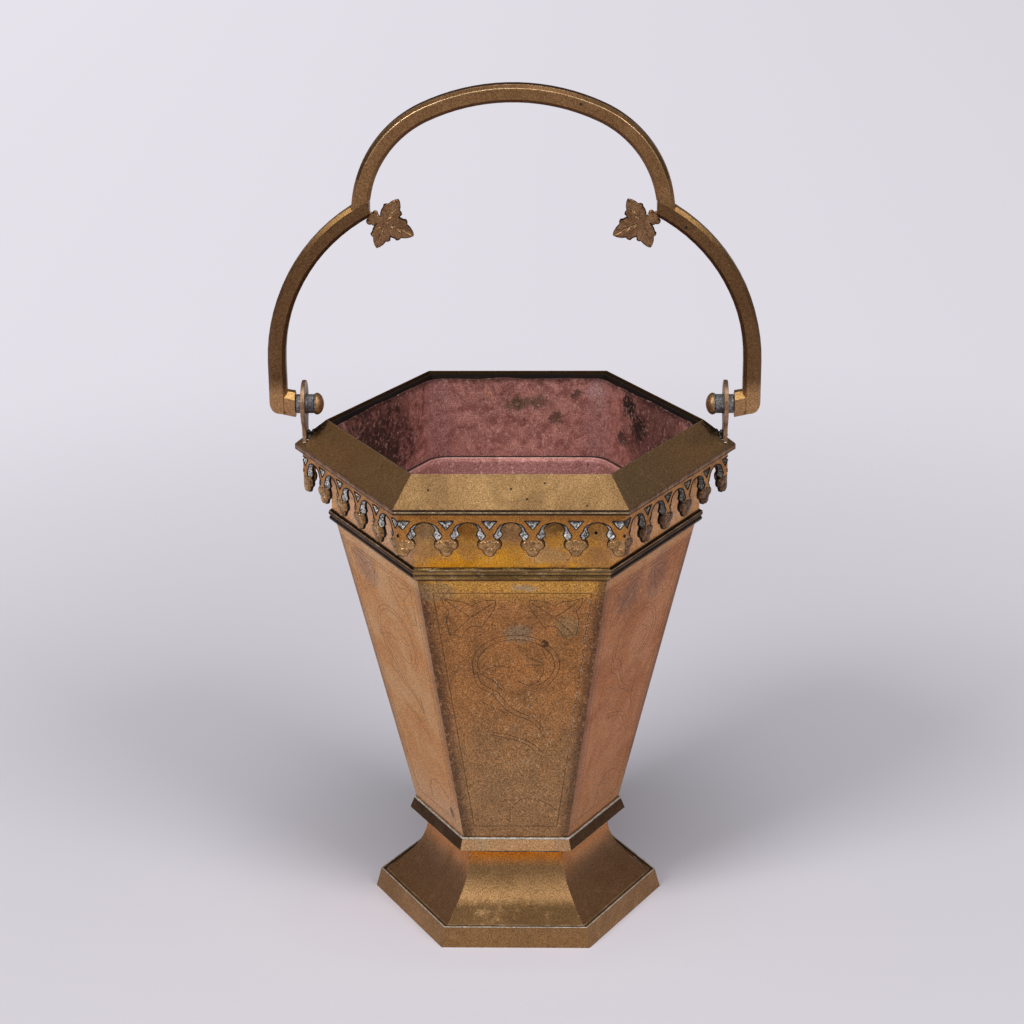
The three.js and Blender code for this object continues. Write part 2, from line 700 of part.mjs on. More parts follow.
// A list of (x, height above the pins) points, as a path in the bail's plane
class BailPath extends THREE.Curve {
  constructor(stations) {
    super();
    this.stations = stations;
  }

  getPoint(t, target = new THREE.Vector3()) {
    const place = t * (this.stations.length - 1);
    const from = Math.min(Math.floor(place), this.stations.length - 2);
    const at = new THREE.Vector2().lerpVectors(this.stations[from], this.stations[from + 1], place - from);
    return target.set(at.x, 0, at.y);
  }

  getPointAt(t, target) {
    return this.getPoint(t, target);
  }
}

function sweptBar(stations) {
  const path = new BailPath(stations);
  const bar = new THREE.ExtrudeGeometry(barSection(barSize, barSize, barChamfer), {
    steps: stations.length - 1, extrudePath: path, bevelEnabled: false,
  });
  bar.translate(0, 0, pinHeight);
  return bar;
}

function arcPoints(centreX, centreZ, radius, from, to, steps) {
  return Array.from({ length: steps + 1 }, (_, i) => {
    const turn = from + ((to - from) * i) / steps;
    return point(centreX + radius * Math.cos(turn), centreZ + radius * Math.sin(turn));
  });
}

const sideHalfSpan = pinOuterEnd + armReach;
const sideCentreX = sideHalfSpan - sideRadius;
const crownInnerFace = crownHalfSpan - barSize / 2;
const crownOuterFace = crownHalfSpan + barSize / 2;
const sideOutside = sideRadius + barSize / 2;
const sideHeightAt = (x, radius) => sideSpringing + Math.sqrt(radius ** 2 - (x - sideCentreX) ** 2);
const crownSpringing = sideHeightAt(crownOuterFace, sideOutside) - crownSink;
const crownRise = crownSpringing + crownArchRise;
const crownHaunchRadius = crownHaunchShare * crownArchRise;
const haunchCentreX = crownHalfSpan - crownHaunchRadius;
const crownTopRadius = (haunchCentreX ** 2 + crownArchRise ** 2 - crownHaunchRadius ** 2)
  / (2 * (crownArchRise - crownHaunchRadius));
const haunchTurn = Math.atan2(crownSpringing - (crownRise - crownTopRadius), haunchCentreX);
const rightHaunch = arcPoints(
  haunchCentreX, crownSpringing, crownHaunchRadius, 0, haunchTurn, crownHaunchSteps,
);
const crownTop = arcPoints(
  0, crownRise - crownTopRadius, crownTopRadius, haunchTurn, Math.PI - haunchTurn, crownTopSteps,
);
const leftHaunch = rightHaunch.map((place) => point(-place.x, place.y)).reverse();
const crownStations = [...rightHaunch, ...crownTop.slice(1), ...leftHaunch.slice(1)];

// The crown's feet are cut to sit on the outer faces of the side arcs
const bailCutDepth = barSize + 2 * cutOverrun;
function sideArcCutter(direction) {
  const cutter = new THREE.CylinderGeometry(
    sideOutside + seatGap, sideOutside + seatGap, bailCutDepth, arcCutSteps,
  );
  cutter.translate(direction * sideCentreX, 0, pinHeight + sideSpringing);
  return toSolid(cutter);
}
const crownBar = toSolid(sweptBar(crownStations));
const seatedCrown = crownBar.subtract(sideArcCutter(1)).subtract(sideArcCutter(-1));
addPiece('bail_crown', toGeometry(seatedCrown), 'castBronze');

// Each side: an arc that ends under the crown's foot, a straight leg and an arm turned in to the pin
function bailSide() {
  const endTurn = Math.acos((crownInnerFace - barSize / 2 - sideCentreX) / sideRadius);
  const armTop = armHeight / 2;
  const arc = arcPoints(sideCentreX, sideSpringing, sideRadius, 0, endTurn, sideSteps);
  const bar = toSolid(sweptBar([point(sideHalfSpan, armDroop - armTop), ...arc]));
  const trim = new THREE.BoxGeometry(2 * crownInnerFace, bailCutDepth, sideRadius);
  trim.translate(0, 0, pinHeight + sideHeightAt(crownInnerFace, sideRadius));
  const armRoot = sideHalfSpan + barSize / 2;
  const armEnd = pinOuterEnd + seatGap;
  const rootNarrowing = ((armDepth - barSize) * barSize) / (armRoot - barSize - armEnd);
  const arm = new THREE.ExtrudeGeometry(barSection(armDepth, armHeight, armChamfer), {
    depth: 1, steps: 1, bevelEnabled: false,
  });
  const corners = arm.attributes.position;
  for (let i = 0; i < corners.count; i += 1) {
    const isEnd = corners.getZ(i) > 0.5;
    const rise = corners.getY(i) + (isEnd ? 0 : armDroop);
    const rootDepth = corners.getX(i) * (isEnd ? 1 : (barSize - rootNarrowing) / armDepth);
    corners.setXYZ(i, isEnd ? armEnd : armRoot, rootDepth, pinHeight + rise);
  }
  const armFoot = pinHeight + armDroop - armTop;
  const elbow = new THREE.Shape();
  elbow.moveTo(armRoot - elbowRadius, armFoot);
  elbow.absarc(armRoot - elbowRadius, armFoot + elbowRadius, elbowRadius, -Math.PI / 2, 0, false);
  elbow.lineTo(armRoot + cutOverrun, armFoot + elbowRadius);
  elbow.lineTo(armRoot + cutOverrun, armFoot - cutOverrun);
  elbow.lineTo(armRoot - elbowRadius, armFoot - cutOverrun);
  const elbowCut = new THREE.ExtrudeGeometry(elbow, {
    depth: bailCutDepth, steps: 1, bevelEnabled: false, curveSegments: beadSteps,
  });
  elbowCut.rotateX(Math.PI / 2);
  elbowCut.translate(0, bailCutDepth / 2, 0);
  const socket = new THREE.CylinderGeometry(
    tenonRadius + seatGap, tenonRadius + seatGap, 2 * (tenonLength + seatGap), roundSides,
  );
  socket.rotateZ(Math.PI / 2);
  socket.translate(armEnd, 0, pinHeight);
  const side = bar.subtract(toSolid(trim)).add(toSolid(arm));
  return toGeometry(side.subtract(toSolid(elbowCut)).subtract(toSolid(socket)));
}
addPair('bail_side', bailSide(), 'castBronze');

// Leaves: three toothed leaflets and a bud, set at each cusp
function leaflet(length, angle) {
  const upper = leafletShares.map(([along, across]) => point(along * length, across * length));
  const lower = leafletShares.map(([along, across]) => point(along * length, -across * length)).reverse();
  const blade = new THREE.ExtrudeGeometry(new THREE.Shape([...upper, ...lower]), {
    depth: leafThickness, steps: 1, bevelEnabled: false,
  });
  blade.rotateZ(angle);
  return toSolid(blade);
}

const leafCentreX = crownInnerFace - leafReach;
const leafCentreRise = sideHeightAt(crownInnerFace, sideRadius) - leafDrop;

function leaf() {
  const axis = Math.PI + degrees(leafAxisAngle);
  const stem = new THREE.BoxGeometry(leafBudReach, leafStemWidth, leafThickness);
  stem.translate(leafBudReach / 2, 0, leafThickness / 2);
  stem.rotateZ(axis + Math.PI);
  const bud = new THREE.CylinderGeometry(leafBudRadius, leafBudRadius, leafThickness, roundSides / 2);
  bud.rotateX(Math.PI / 2);
  bud.translate(-leafBudReach * Math.cos(axis), -leafBudReach * Math.sin(axis), leafThickness / 2);
  const bailEnd = new THREE.BoxGeometry(2 * leafBudRadius, 2 * leafMiddleLength, bailCutDepth);
  bailEnd.translate(leafReach - seatGap + leafBudRadius, 0, 0);
  const plate = toGeometry(
    leaflet(leafMiddleLength, axis)
      .add(leaflet(leafSideLength, axis + degrees(leafSideAngle)))
      .add(leaflet(leafSideLength, axis - degrees(leafSideAngle)))
      .add(toSolid(stem))
      .add(toSolid(bud))
      .subtract(toSolid(bailEnd)),
  );
  plate.rotateX(Math.PI / 2);
  plate.translate(leafCentreX, leafThickness / 2, pinHeight + leafCentreRise);
  return plate;
}
addPair('bail_leaf', leaf(), 'castBronze');

export default group;
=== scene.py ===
# Holy water bucket: the finish of every surface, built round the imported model. Metres, +Z up.
import math
import random
from functools import partial
import bmesh
import bpy
from mathutils import Matrix, Vector, noise


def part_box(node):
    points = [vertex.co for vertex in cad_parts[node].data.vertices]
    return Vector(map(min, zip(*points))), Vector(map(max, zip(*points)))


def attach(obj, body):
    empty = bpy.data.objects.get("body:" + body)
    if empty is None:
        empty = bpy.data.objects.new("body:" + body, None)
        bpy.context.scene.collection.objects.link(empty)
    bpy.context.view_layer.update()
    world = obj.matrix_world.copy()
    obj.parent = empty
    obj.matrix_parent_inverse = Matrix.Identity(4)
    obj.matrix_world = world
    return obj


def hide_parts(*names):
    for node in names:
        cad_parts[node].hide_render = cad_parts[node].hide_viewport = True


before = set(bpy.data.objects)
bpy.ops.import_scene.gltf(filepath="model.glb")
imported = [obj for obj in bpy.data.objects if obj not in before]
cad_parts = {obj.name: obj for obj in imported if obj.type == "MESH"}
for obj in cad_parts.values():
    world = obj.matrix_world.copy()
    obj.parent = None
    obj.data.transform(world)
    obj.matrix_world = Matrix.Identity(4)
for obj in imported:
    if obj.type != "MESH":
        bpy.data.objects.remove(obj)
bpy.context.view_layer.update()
mm = 0.001
print("frame loaded:", len(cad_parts), "nodes")

sideNames = ["front", "front_right", "back_right", "back", "back_left", "front_left"]
sideTurn = 2 * math.pi / len(sideNames)
halfPerFlat = math.tan(sideTurn / 2)  # half a side's length over its distance from the axis
flatPerCorner = math.cos(sideTurn / 2)  # that distance over a corner's
mergeGap = 0.01 * mm
scene = bpy.context.scene
scene.view_settings.view_transform = "Standard"


# Camera, floor and light
view = {
    "azimuth": 1.40, "elevation": 20.51, "roll": -0.45,  # degrees, azimuth from the front towards the right
    "place": (0.0253, -1.0979, 0.6037), "lens": 90.1, "sensor": 36,
}
studio = {
    "floorSize": 24, "floorColour": "#d4d1d9",
    "farFrom": 0.1, "farTo": 0.92,  # metres from the bucket, where the lamps' falloff is evened out
    "farStrength": 0.79 / 0.7,  # a pale 0.79 from paper that gives back 0.7 of the light
    "farSlope": -0.09, "slopeReach": 1.2,  # share of that strength per metre to the right, and how far it goes
    "skyColour": "#dfdde5",  # what the camera sees past the paper's edge
    "worldColour": "#68656c", "worldStrength": 0.46,
    "aim": (0, 0, 0.17),
    "lamps": {  # azimuth, elevation, distance, size and power
        "key": (-44, 40, 3.4, 1.1, 61), "fill": (46, 38, 3.4, 1.3, 46), "top": (4, 72, 2.8, 1.6, 34),
    },
}


def linear(hexColour):
    parts = [int(hexColour[i:i + 2], 16) / 255 for i in (1, 3, 5)]
    return tuple(c / 12.92 if c <= 0.04045 else ((c + 0.055) / 1.055) ** 2.4 for c in parts) + (1.0,)


# Adds a node with its settings and links. Values go to its inputs, in order or by name: a node stands for its
# first output, an output is linked, a hex colour is made linear and the rest is set as it is.
def addNode(tree, kind, *values, **settings):
    node = tree.nodes.new(kind if "Node" in kind else "ShaderNode" + kind)
    for name, value in settings.items():
        setattr(node, name, value)
    inputs = values[0] if values and isinstance(values[0], dict) else dict(enumerate(values))
    for name, value in inputs.items():
        if isinstance(value, bpy.types.Node):
            value = value.outputs[0]
        if isinstance(value, bpy.types.NodeSocket):
            tree.links.new(value, node.inputs[name])
        else:
            node.inputs[name].default_value = linear(value) if isinstance(value, str) else value
    return node


def newMaterial(name):
    material = bpy.data.materials.new(name)
    material.use_nodes = True
    material.node_tree.nodes.clear()
    return material, partial(addNode, material.node_tree)


def addObject(name, data):
    made = bpy.data.objects.new(name, data)
    scene.collection.objects.link(made)
    return made


def awayAt(azimuth, elevation):
    turn, rise = math.radians(azimuth), math.radians(elevation)
    return Vector((math.sin(turn) * math.cos(rise), -math.cos(turn) * math.cos(rise), math.sin(rise)))


def placeCamera():
    back = awayAt(view["azimuth"], view["elevation"])
    roll = math.radians(view["roll"])
    level = (-back).cross(Vector((0, 0, 1))).normalized()
    upright = level.cross(-back)
    right = math.cos(roll) * level + math.sin(roll) * upright
    up = math.cos(roll) * upright - math.sin(roll) * level
    camera = addObject("camera", bpy.data.cameras.new("camera"))
    camera.data.lens = view["lens"]
    camera.data.sensor_width = view["sensor"]
    camera.matrix_world = Matrix.Translation(view["place"]) @ Matrix((right, up, back)).transposed().to_4x4()
    scene.camera = camera


def addSoftboxes():
    for name, (azimuth, elevation, distance, size, power) in studio["lamps"].items():
        lamp = bpy.data.lights.new(name + "Softbox", "AREA")
        lamp.shape = "SQUARE"
        lamp.size = size
        lamp.energy = power
        away = awayAt(azimuth, elevation)
        box = addObject(name + "Softbox", lamp)
        box.location = Vector(studio["aim"]) + away * distance
        box.rotation_euler = away.to_track_quat("Z", "Y").to_euler()


def addWorld():
    scene.world = bpy.data.worlds.new("studio")
    scene.world.use_nodes = True
    scene.world.node_tree.nodes.clear()
    add = partial(addNode, scene.world.node_tree)
    dim = add("Background", studio["worldColour"], studio["worldStrength"])
    pale = add("Background", studio["skyColour"])
    seen = add("LightPath").outputs["Is Camera Ray"]
    add("OutputWorld", {"Surface": add("MixShader", seen, dim, pale)})


# Seamless paper: matt, pale lavender grey, and evenly pale far off, to the eye and in what metal mirrors
def addFloor():
    material, add = newMaterial("seamlessPaper")
    place = add("TexCoord").outputs["Object"]
    away = add("VectorMath", place, operation="LENGTH").outputs["Value"]
    far = add("MapRange", away, studio["farFrom"], studio["farTo"], interpolation_type="SMOOTHSTEP")
    ray = add("LightPath").outputs
    seen = add("Math", ray["Is Camera Ray"], ray["Is Glossy Ray"], operation="MAXIMUM")
    through = add("Math", seen, ray["Is Transmission Ray"], operation="MAXIMUM")
    share = add("Math", far, through, operation="MULTIPLY")
    paper = add("BsdfPrincipled", {
        "Base Color": studio["floorColour"], "Roughness": 0.85, "Specular IOR Level": 0.2,
    })
    within = add("Clamp", add("SeparateXYZ", place), -studio["slopeReach"], studio["slopeReach"])
    strength = studio["farStrength"]
    strength = add("Math", within, studio["farSlope"] * strength, strength, operation="MULTIPLY_ADD")
    glow = add("Emission", studio["floorColour"], strength)
    add("OutputMaterial", {"Surface": add("MixShader", share, paper, glow)})
    mesh = bpy.data.meshes.new("floor")
    half = studio["floorSize"] / 2
    corners = [(-half, -half, 0), (half, -half, 0), (half, half, 0), (-half, half, 0)]
    mesh.from_pydata(corners, [], [(0, 1, 2, 3)])
    mesh.materials.append(material)
    addObject("floor", mesh)


placeCamera()
addWorld()
addSoftboxes()
addFloor()
print("camera and studio set")


# Geometry Nodes
def newTree(name, inputs):
    tree = bpy.data.node_groups.new(name, "GeometryNodeTree")
    tree.interface.new_socket("Geometry", in_out="INPUT", socket_type="NodeSocketGeometry")
    for label, kind in inputs.items():
        tree.interface.new_socket(label, in_out="INPUT", socket_type="NodeSocket" + kind)
    tree.interface.new_socket("Geometry", in_out="OUTPUT", socket_type="NodeSocketGeometry")
    add = partial(addNode, tree)
    return tree, add, add("NodeGroupInput").outputs


# Ends a tree: instances made real and the material set
def endTree(add, given, geometry):
    real = add("GeometryNodeRealizeInstances", geometry)
    add("NodeGroupOutput", add("GeometryNodeSetMaterial", {"Geometry": real, "Material": given["Material"]}))


# Gives what an object's modifiers make of its mesh as a plain mesh
def plainMesh(name, carrier):
    plain = bpy.data.meshes.new_from_object(carrier.evaluated_get(bpy.context.evaluated_depsgraph_get()))
    bpy.data.objects.remove(carrier)
    plain.name = name
    return plain


def grown(name, start, tree, values):
    carrier = addObject(name, start)
    modifier = carrier.modifiers.new(name, "NODES")
    modifier.node_group = tree
    for item in tree.interface.items_tree:
        if item.in_out == "INPUT" and item.name in values:
            modifier[item.identifier] = values[item.name]
    return plainMesh(name, carrier)


# A line: edges become a round bead that may wander and swell, for engraved lines, scratches and solder
def makeLineTree():
    tree, add, given = newTree("lineTree", {
        "Radius": "Float", "Step": "Float", "Wander": "Float", "Swell": "Float", "Sides": "Int",
        "Material": "Material",
    })
    curve = add("GeometryNodeMeshToCurve", given["Geometry"])
    even = add("GeometryNodeResampleCurve", {"Curve": curve, "Length": given["Step"]}, mode="LENGTH")
    cloud = add("TexNoise", {"Scale": 420.0, "Detail": 2.0}).outputs  # a bend about every 2.4 mm
    offset = add("VectorMath", cloud["Color"], (0.5, 0.5, 0.5), operation="SUBTRACT")
    drift = add("VectorMath", {0: offset, "Scale": given["Wander"]}, operation="SCALE")
    moved = add("GeometryNodeSetPosition", {"Geometry": even, "Offset": drift})
    centred = add("Math", cloud["Fac"], 0.5, operation="SUBTRACT")
    swell = add("Math", centred, given["Swell"], 1.0, operation="MULTIPLY_ADD")
    ring = add("GeometryNodeCurvePrimitiveCircle", {"Resolution": given["Sides"], "Radius": given["Radius"]})
    endTree(add, given, add("GeometryNodeCurveToMesh", {
        "Curve": moved, "Profile Curve": ring, "Scale": swell, "Fill Caps": True,
    }))
    return tree


# Squashed balls on points, all turned the same way: pits, solder drops, the lobes of the pendants
def makeDotTree():
    tree, add, given = newTree("dotTree", {
        "Radius": "Float", "Squash": "Vector", "Turn": "Rotation", "Vary": "Float", "Seed": "Int",
        "Material": "Material",
    })
    ball = add("GeometryNodeMeshIcoSphere", {"Subdivisions": 3, "Radius": given["Radius"]})
    flat = add("GeometryNodeTransform", {"Geometry": ball, "Scale": given["Squash"]})
    least = add("Math", 1.0, given["Vary"], operation="SUBTRACT")
    share = add("FunctionNodeRandomValue", {2: least, 3: 1.0, "Seed": given["Seed"]}, data_type="FLOAT")
    endTree(add, given, add("GeometryNodeInstanceOnPoints", {
        "Points": given["Geometry"], "Instance": flat, "Rotation": given["Turn"], "Scale": share.outputs[1],
    }))
    return tree


# A bar: square with chamfered corners along a path, its ends cut off by two round cutters
def makeBarTree():
    tree, add, given = newTree("barTree", {
        "Bar": "Float", "Chamfer": "Float", "Cut Radius": "Float", "Cut Right": "Vector", "Cut Left": "Vector",
        "Material": "Material",
    })
    path = add("GeometryNodeMeshToCurve", given["Geometry"])
    square = add("GeometryNodeCurvePrimitiveQuadrilateral", {"Width": given["Bar"], "Height": given["Bar"]})
    eight = add("GeometryNodeFilletCurve", {
        "Curve": square, "Count": 1, "Radius": given["Chamfer"],
    }, mode="POLY")
    bar = add("GeometryNodeCurveToMesh", {"Curve": path, "Profile Curve": eight, "Fill Caps": True})
    cutter = add("GeometryNodeMeshCylinder", {"Vertices": 240, "Depth": 60 * mm, "Radius": given["Cut Radius"]})
    for side in ("Cut Right", "Cut Left"):
        placed = add("GeometryNodeTransform", {
            "Geometry": cutter, "Translation": given[side], "Rotation": (math.pi / 2, 0, 0),
        })
        bar = add("GeometryNodeMeshBoolean", bar, placed, operation="DIFFERENCE", solver="EXACT")
    endTree(add, given, bar)
    return tree


lineTree, dotTree, barTree = makeLineTree(), makeDotTree(), makeBarTree()
print("node trees made")


# Finishes. Sizes are in mm, and a noise pattern's scale comes from its grain.
agedSheet = {
    "tarnishSize": 26, "tarnishSoftness": 0.16, "tarnishAmount": 0.8,
    "rubbedSize": 7, "rubbedFrom": 0.56, "rubbedSoftness": 0.16, "rubbedAmount": 0.3,
    "grainSize": 0.6, "grainDark": "#b8aca0", "grainLight": "#ffffff",
    "speckSize": 2.2, "speckFrom": 0.7, "speckSoftness": 0.05, "speckAmount": 0.5, "speck": "#3a281a",
    "roughness": (0.36, 0.5), "metallic": 0.8, "bump": 0.22, "relief": 0.15, "waveSize": 30, "wave": 0.5,
}
smooth = {"interpolation_type": "SMOOTHSTEP"}


# Every metal here is old sheet or casting whose lacquer or polish has worn off: cloudy patches of tarnish
# over the metal's own colour, a fine grain, brown and black oxide specks, and rubbed brighter spots. The three
# colours are metal, tarnish and rubbed spots. A zone lays a further colour on by place: its colour, amount,
# kind, where, reach, raggedness and, where they aren't 5 and 0, the grain and softness of that. A fade comes in
# between two heights, an edge follows the sides' edges, a patch lies on a side, a spot round a point.
def finish(name, colours, zones=(), **changes):
    look = {**agedSheet, **changes}
    metalColour, tarnishColour, rubbedColour = colours.split()
    material, add = newMaterial(name)
    place = add("TexCoord").outputs["Object"]
    along = add("SeparateXYZ", add("Attribute", attribute_name="sidePlace").outputs["Vector"]).outputs

    def cloud(size, detail=3, distortion=0.0, seed=0.0):
        moved = add("Mapping", {"Vector": place, "Location": (seed, 0.7 * seed, 0.4 * seed)})
        return add("TexNoise", {
            "Vector": moved, "Scale": 1 / (size * mm), "Detail": detail, "Roughness": 0.62,
            "Distortion": distortion,
        })

    def zoneMask(number, amount, kind, where, reach, ragged, raggedSize=5, soft=0):
        noisy = add("Math", cloud(raggedSize, 4, 0.4, 0.9 + 0.37 * number), 2.0, -1.0, operation="MULTIPLY_ADD")
        if kind == "fade":
            away, low, high, start, unit = along[2], where * mm, reach * mm, 0, mm
        elif kind == "edge":
            half = add("Math", along[2], where[1], where[0] * mm, operation="MULTIPLY_ADD")
            away = add("Math", half, add("Math", along[0], operation="ABSOLUTE"), operation="SUBTRACT")
            low, high, start, unit = reach[0] * mm, sum(reach) * mm, 1, mm
        elif kind == "spot":
            gap = add("VectorMath", place, [value * mm for value in where], operation="DISTANCE")
            away = add("Math", gap.outputs["Value"], 1 / (reach * mm), operation="MULTIPLY")
            low, high, start, unit = 0.6, 1.2, 1, 1
        else:
            squares = []
            for axis, middle, size in zip((0, 2), where, reach):
                off = add("Math", along[axis], middle * mm, operation="SUBTRACT")
                off = add("Math", off, 1 / (size * mm), operation="MULTIPLY")
                squares.append(add("Math", off, off, operation="MULTIPLY"))
            away = add("Math", add("Math", *squares, operation="ADD"), operation="SQRT")
            low, high, start, unit = 0.75, 1.15 + soft, 1, 1
        away = add("Math", noisy, ragged * unit, away, operation="MULTIPLY_ADD")
        mask = add("MapRange", away, low, high, start, 1 - start, **smooth)
        return add("Math", mask, amount, operation="MULTIPLY")

    softness, rubbedFrom, speckFrom = look["tarnishSoftness"], look["rubbedFrom"], look["speckFrom"]
    rubbedTo, speckTo = rubbedFrom + look["rubbedSoftness"], speckFrom + look["speckSoftness"]
    tarnish = add("MapRange", cloud(look["tarnishSize"], 5, 0.6), 0.5 - softness, 0.5 + softness, **smooth)
    rubbed = add("MapRange", cloud(look["rubbedSize"], 4, 0.3, 0.31), rubbedFrom, rubbedTo, **smooth)
    grain = add("MapRange", cloud(look["grainSize"], 3, 0.0, 0.11), 0.3, 0.7, **smooth)
    specks = add("MapRange", cloud(look["speckSize"], 2, 0.0, 0.53), speckFrom, speckTo, **smooth)
    grained = add("Mix", {0: grain, 6: look["grainDark"], 7: look["grainLight"]}, data_type="RGBA").outputs[2]
    layers = [(add("Math", tarnish, look["tarnishAmount"], operation="MULTIPLY"), tarnishColour, "MIX")]
    layers += [(zoneMask(number, *zone), tint, "MIX") for number, (tint, *zone) in enumerate(zones)]
    layers += [
        (add("Math", rubbed, look["rubbedAmount"], operation="MULTIPLY"), rubbedColour, "MIX"),
        (1.0, grained, "MULTIPLY"),
        (add("Math", specks, look["speckAmount"], operation="MULTIPLY"), look["speck"], "MIX"),
    ]
    colour = metalColour
    for share, tint, blend in layers:
        colour = add("Mix", {0: share, 6: colour, 7: tint}, data_type="RGBA", blend_type=blend).outputs[2]
    wave = add("Bump", {
        "Strength": 1.0, "Distance": look["wave"] * mm, "Height": cloud(look["waveSize"], 1, 0.0, 0.77),
    })
    bump = add("Bump", {
        "Strength": look["bump"], "Distance": look["relief"] * mm, "Normal": wave,
        "Height": add("Math", specks, -0.8, grain, operation="MULTIPLY_ADD"),
    })
    shader = add("BsdfPrincipled", {
        "Base Color": colour, "Metallic": look["metallic"], "Normal": bump,
        "Roughness": add("MapRange", tarnish, 0, 1, *look["roughness"], **smooth),
    })
    add("OutputMaterial", {"Surface": shader})
    return material


bodyEdge = ("edge", (18, 0.1218), (1, 5), 0.7)  # half a side at the floor and its growth, then width and fading
panelZones = [("#ffc25c", 0.85, "fade", 174, 186, 4), ("#573e38", 0.65, *bodyEdge)]
sidePanel = {"rubbedSize": 2, "rubbedAmount": 0.5, "grainDark": "#aa9e92"}
# Rolled brass sheet, engraved and once gilt: dull ochre, browner where hands have worn it, gold at the top.
# Each side's copy is lighter or darker partly for its patina and partly as painted light, for how the lamps
# fall on it.
bodyFinishes = {
    "front": finish("rolledBrassFront", "#d09054 #a8784a #e8b078", [
        ("#c09c70", 0.65, "fade", 145, 70, 22, 9),
        *panelZones,
        ("#a4957a", 0.6, "patch", (2.3, 160), (6.5, 5), 0.9, 2.4),
        ("#b09468", 0.6, "patch", (24, 164), (5.5, 6), 0.9, 2.4),
        ("#c4b89c", 0.6, "patch", (5, 184), (6, 1.6), 1.2, 2),
        ("#a08c6c", 0.55, "patch", (-33, 182), (8, 5), 1, 3),
        ("#3e2a1a", 0.8, "patch", (14, 155), (1.6, 2), 0.5),
    ], rubbedSize=2, rubbedFrom=0.52, rubbedAmount=0.5, tarnishSize=12, grainDark="#968a7e"),
    "front_left": finish("rolledBrassLeft", "#ffc074 #f0a860 #ffdc94", [
        ("#8a5f52", 0.5, *bodyEdge),
        ("#ffd296", 0.5, "fade", 181.5, 184.5, 1),
        ("#b08a7c", 0.5, "patch", (-17, 174), (8, 6), 1.3, 3, 0.8),
        ("#ffcc98", 0.85, "fade", 85, 55, 8),
        ("#4a2c16", 0.75, "patch", (17, 58), (1.6, 3), 0.4),
    ], **sidePanel),
    "front_right": finish("rolledBrassRight", "#ea9c58 #cc824c #ffb46c", [
        ("#6b4742", 0.5, *bodyEdge),
        ("#f4bc7c", 0.55, "fade", 181.5, 184.5, 1),
        ("#7c5c54", 0.45, "patch", (11, 172), (6, 9), 1.3, 3, 0.8),
        ("#7c5c54", 0.45, "patch", (-14, 171), (8, 7), 1.3, 3, 0.8),
        ("#e2a468", 0.65, "fade", 85, 55, 8),
    ], **sidePanel),
    "other": finish("rolledBrassBack", "#b9824c #94683a #c89a66", panelZones),
}
# The same sheet under the rim, kept brighter: warm gold with grey-tan clouds, duller towards its top as painted
# shade
friezeClouds = [
    ("#ffae1c", 0.9, (-22, 195.5), (16, 2)), ("#ffb83c", 0.6, (-5, 197), (10, 3)),
    ("#c89c64", 0.6, (-37, 205), (6, 6)), ("#a48c68", 0.6, (-35, 212), (5, 4)),
    ("#b4762c", 0.7, (-19, 213), (4, 4)), ("#c4986c", 0.75, (0, 211), (5, 5)),
    ("#6c5030", 0.6, (18, 214.5), (5, 3)), ("#dcb484", 0.6, (16, 200), (8, 3)),
    ("#c8945c", 0.7, (35, 199), (7, 5)),
]
friezeFinish = finish("rolledBrassFrieze", "#ffb634 #e8a85c #ffd480", [
    # Duller towards the top: painted shade under the rim and cresting
    ("#c09050", 0.6, "fade", 199, 213, 7, 9),
    *((tint, amount, "patch", *place, 1.1, 2.6, 0.5) for tint, amount, *place in friezeClouds),
    ("#ffcca8", 0.65, "spot", (-80, -46, 208), 48, 0.15),
    ("#f0b48c", 0.6, "spot", (80, -46, 208), 48, 0.15),
], tarnishSize=9, rubbedSize=2.2, rubbedFrom=0.53, rubbedAmount=0.5, speckSize=1.5, speckFrom=0.63,
    speck="#6a4418")
# Near-black: painted shade on the frieze's inside above the liner, in grooves and joints and along the
# cresting's outlines, and real dirt in pits and marks
sootAndShadeFinish = finish("sootedBrassAndPaintedShade", "#2a1e16 #140e0a #4a3828", roughness=(0.6, 0.8), metallic=0.3)
# Rim of thicker sheet, wiped over and over: even tan, green-black where the ears' solder let water stand.
# Each side's copy is lighter or darker as painted light, for how the lamps fall on it.
earStains = [("#1c1a16", 0.85, "spot", (side * 89, 0, 234), 6.5, 0.5) for side in (-1, 1)]
rimGrain = {"rubbedSize": 1.1, "rubbedFrom": 0.5, "rubbedAmount": 0.55}
rimFinishes = {
    "front": finish("rolledBrassRimFront", "#8d6f47 #80623d #977c56"),
    "front_left": finish("rolledBrassRimLeft", "#b08a5c #98764e #c49e76", earStains, **rimGrain),
    "front_right": finish("rolledBrassRimRight", "#a88a62 #927450 #bc9e7c", earStains, **rimGrain),
    "other": finish("rolledBrassRimBack", "#74583a #64482c #84684a", earStains),
}
# The rim's lip: dark on the front, painted shade for the shaded sides of a rounded bead; lighter brown on the
# other sides
lipFinishes = {
    "front": finish("rimLipPaintedShade", "#5c4530 #3e2c1c #7c6448", tarnishSize=8),
    "other": finish("rubbedRimLip", "#946848 #6e4a32 #b48868", tarnishSize=5, metallic=1),
}
# Edges kept bright by handling; the same finish makes the painted highlight along the rim's lip
wornEdgeAndGlintFinish = finish("wornBrassEdgeAndGlint", "#c8b48c #8c7450 #e0d4bc",
                    tarnishSize=5, roughness=(0.3, 0.4), metallic=0.55, wave=0)
# Bright lines along arrises, beads and ribs: painted highlights
highlightFinish = finish("paintedHighlightBrass", "#c8a880 #80623e #f0e4d0",
                     tarnishSize=5, rubbedAmount=0.8, roughness=(0.4, 0.5), metallic=0.35, wave=0)
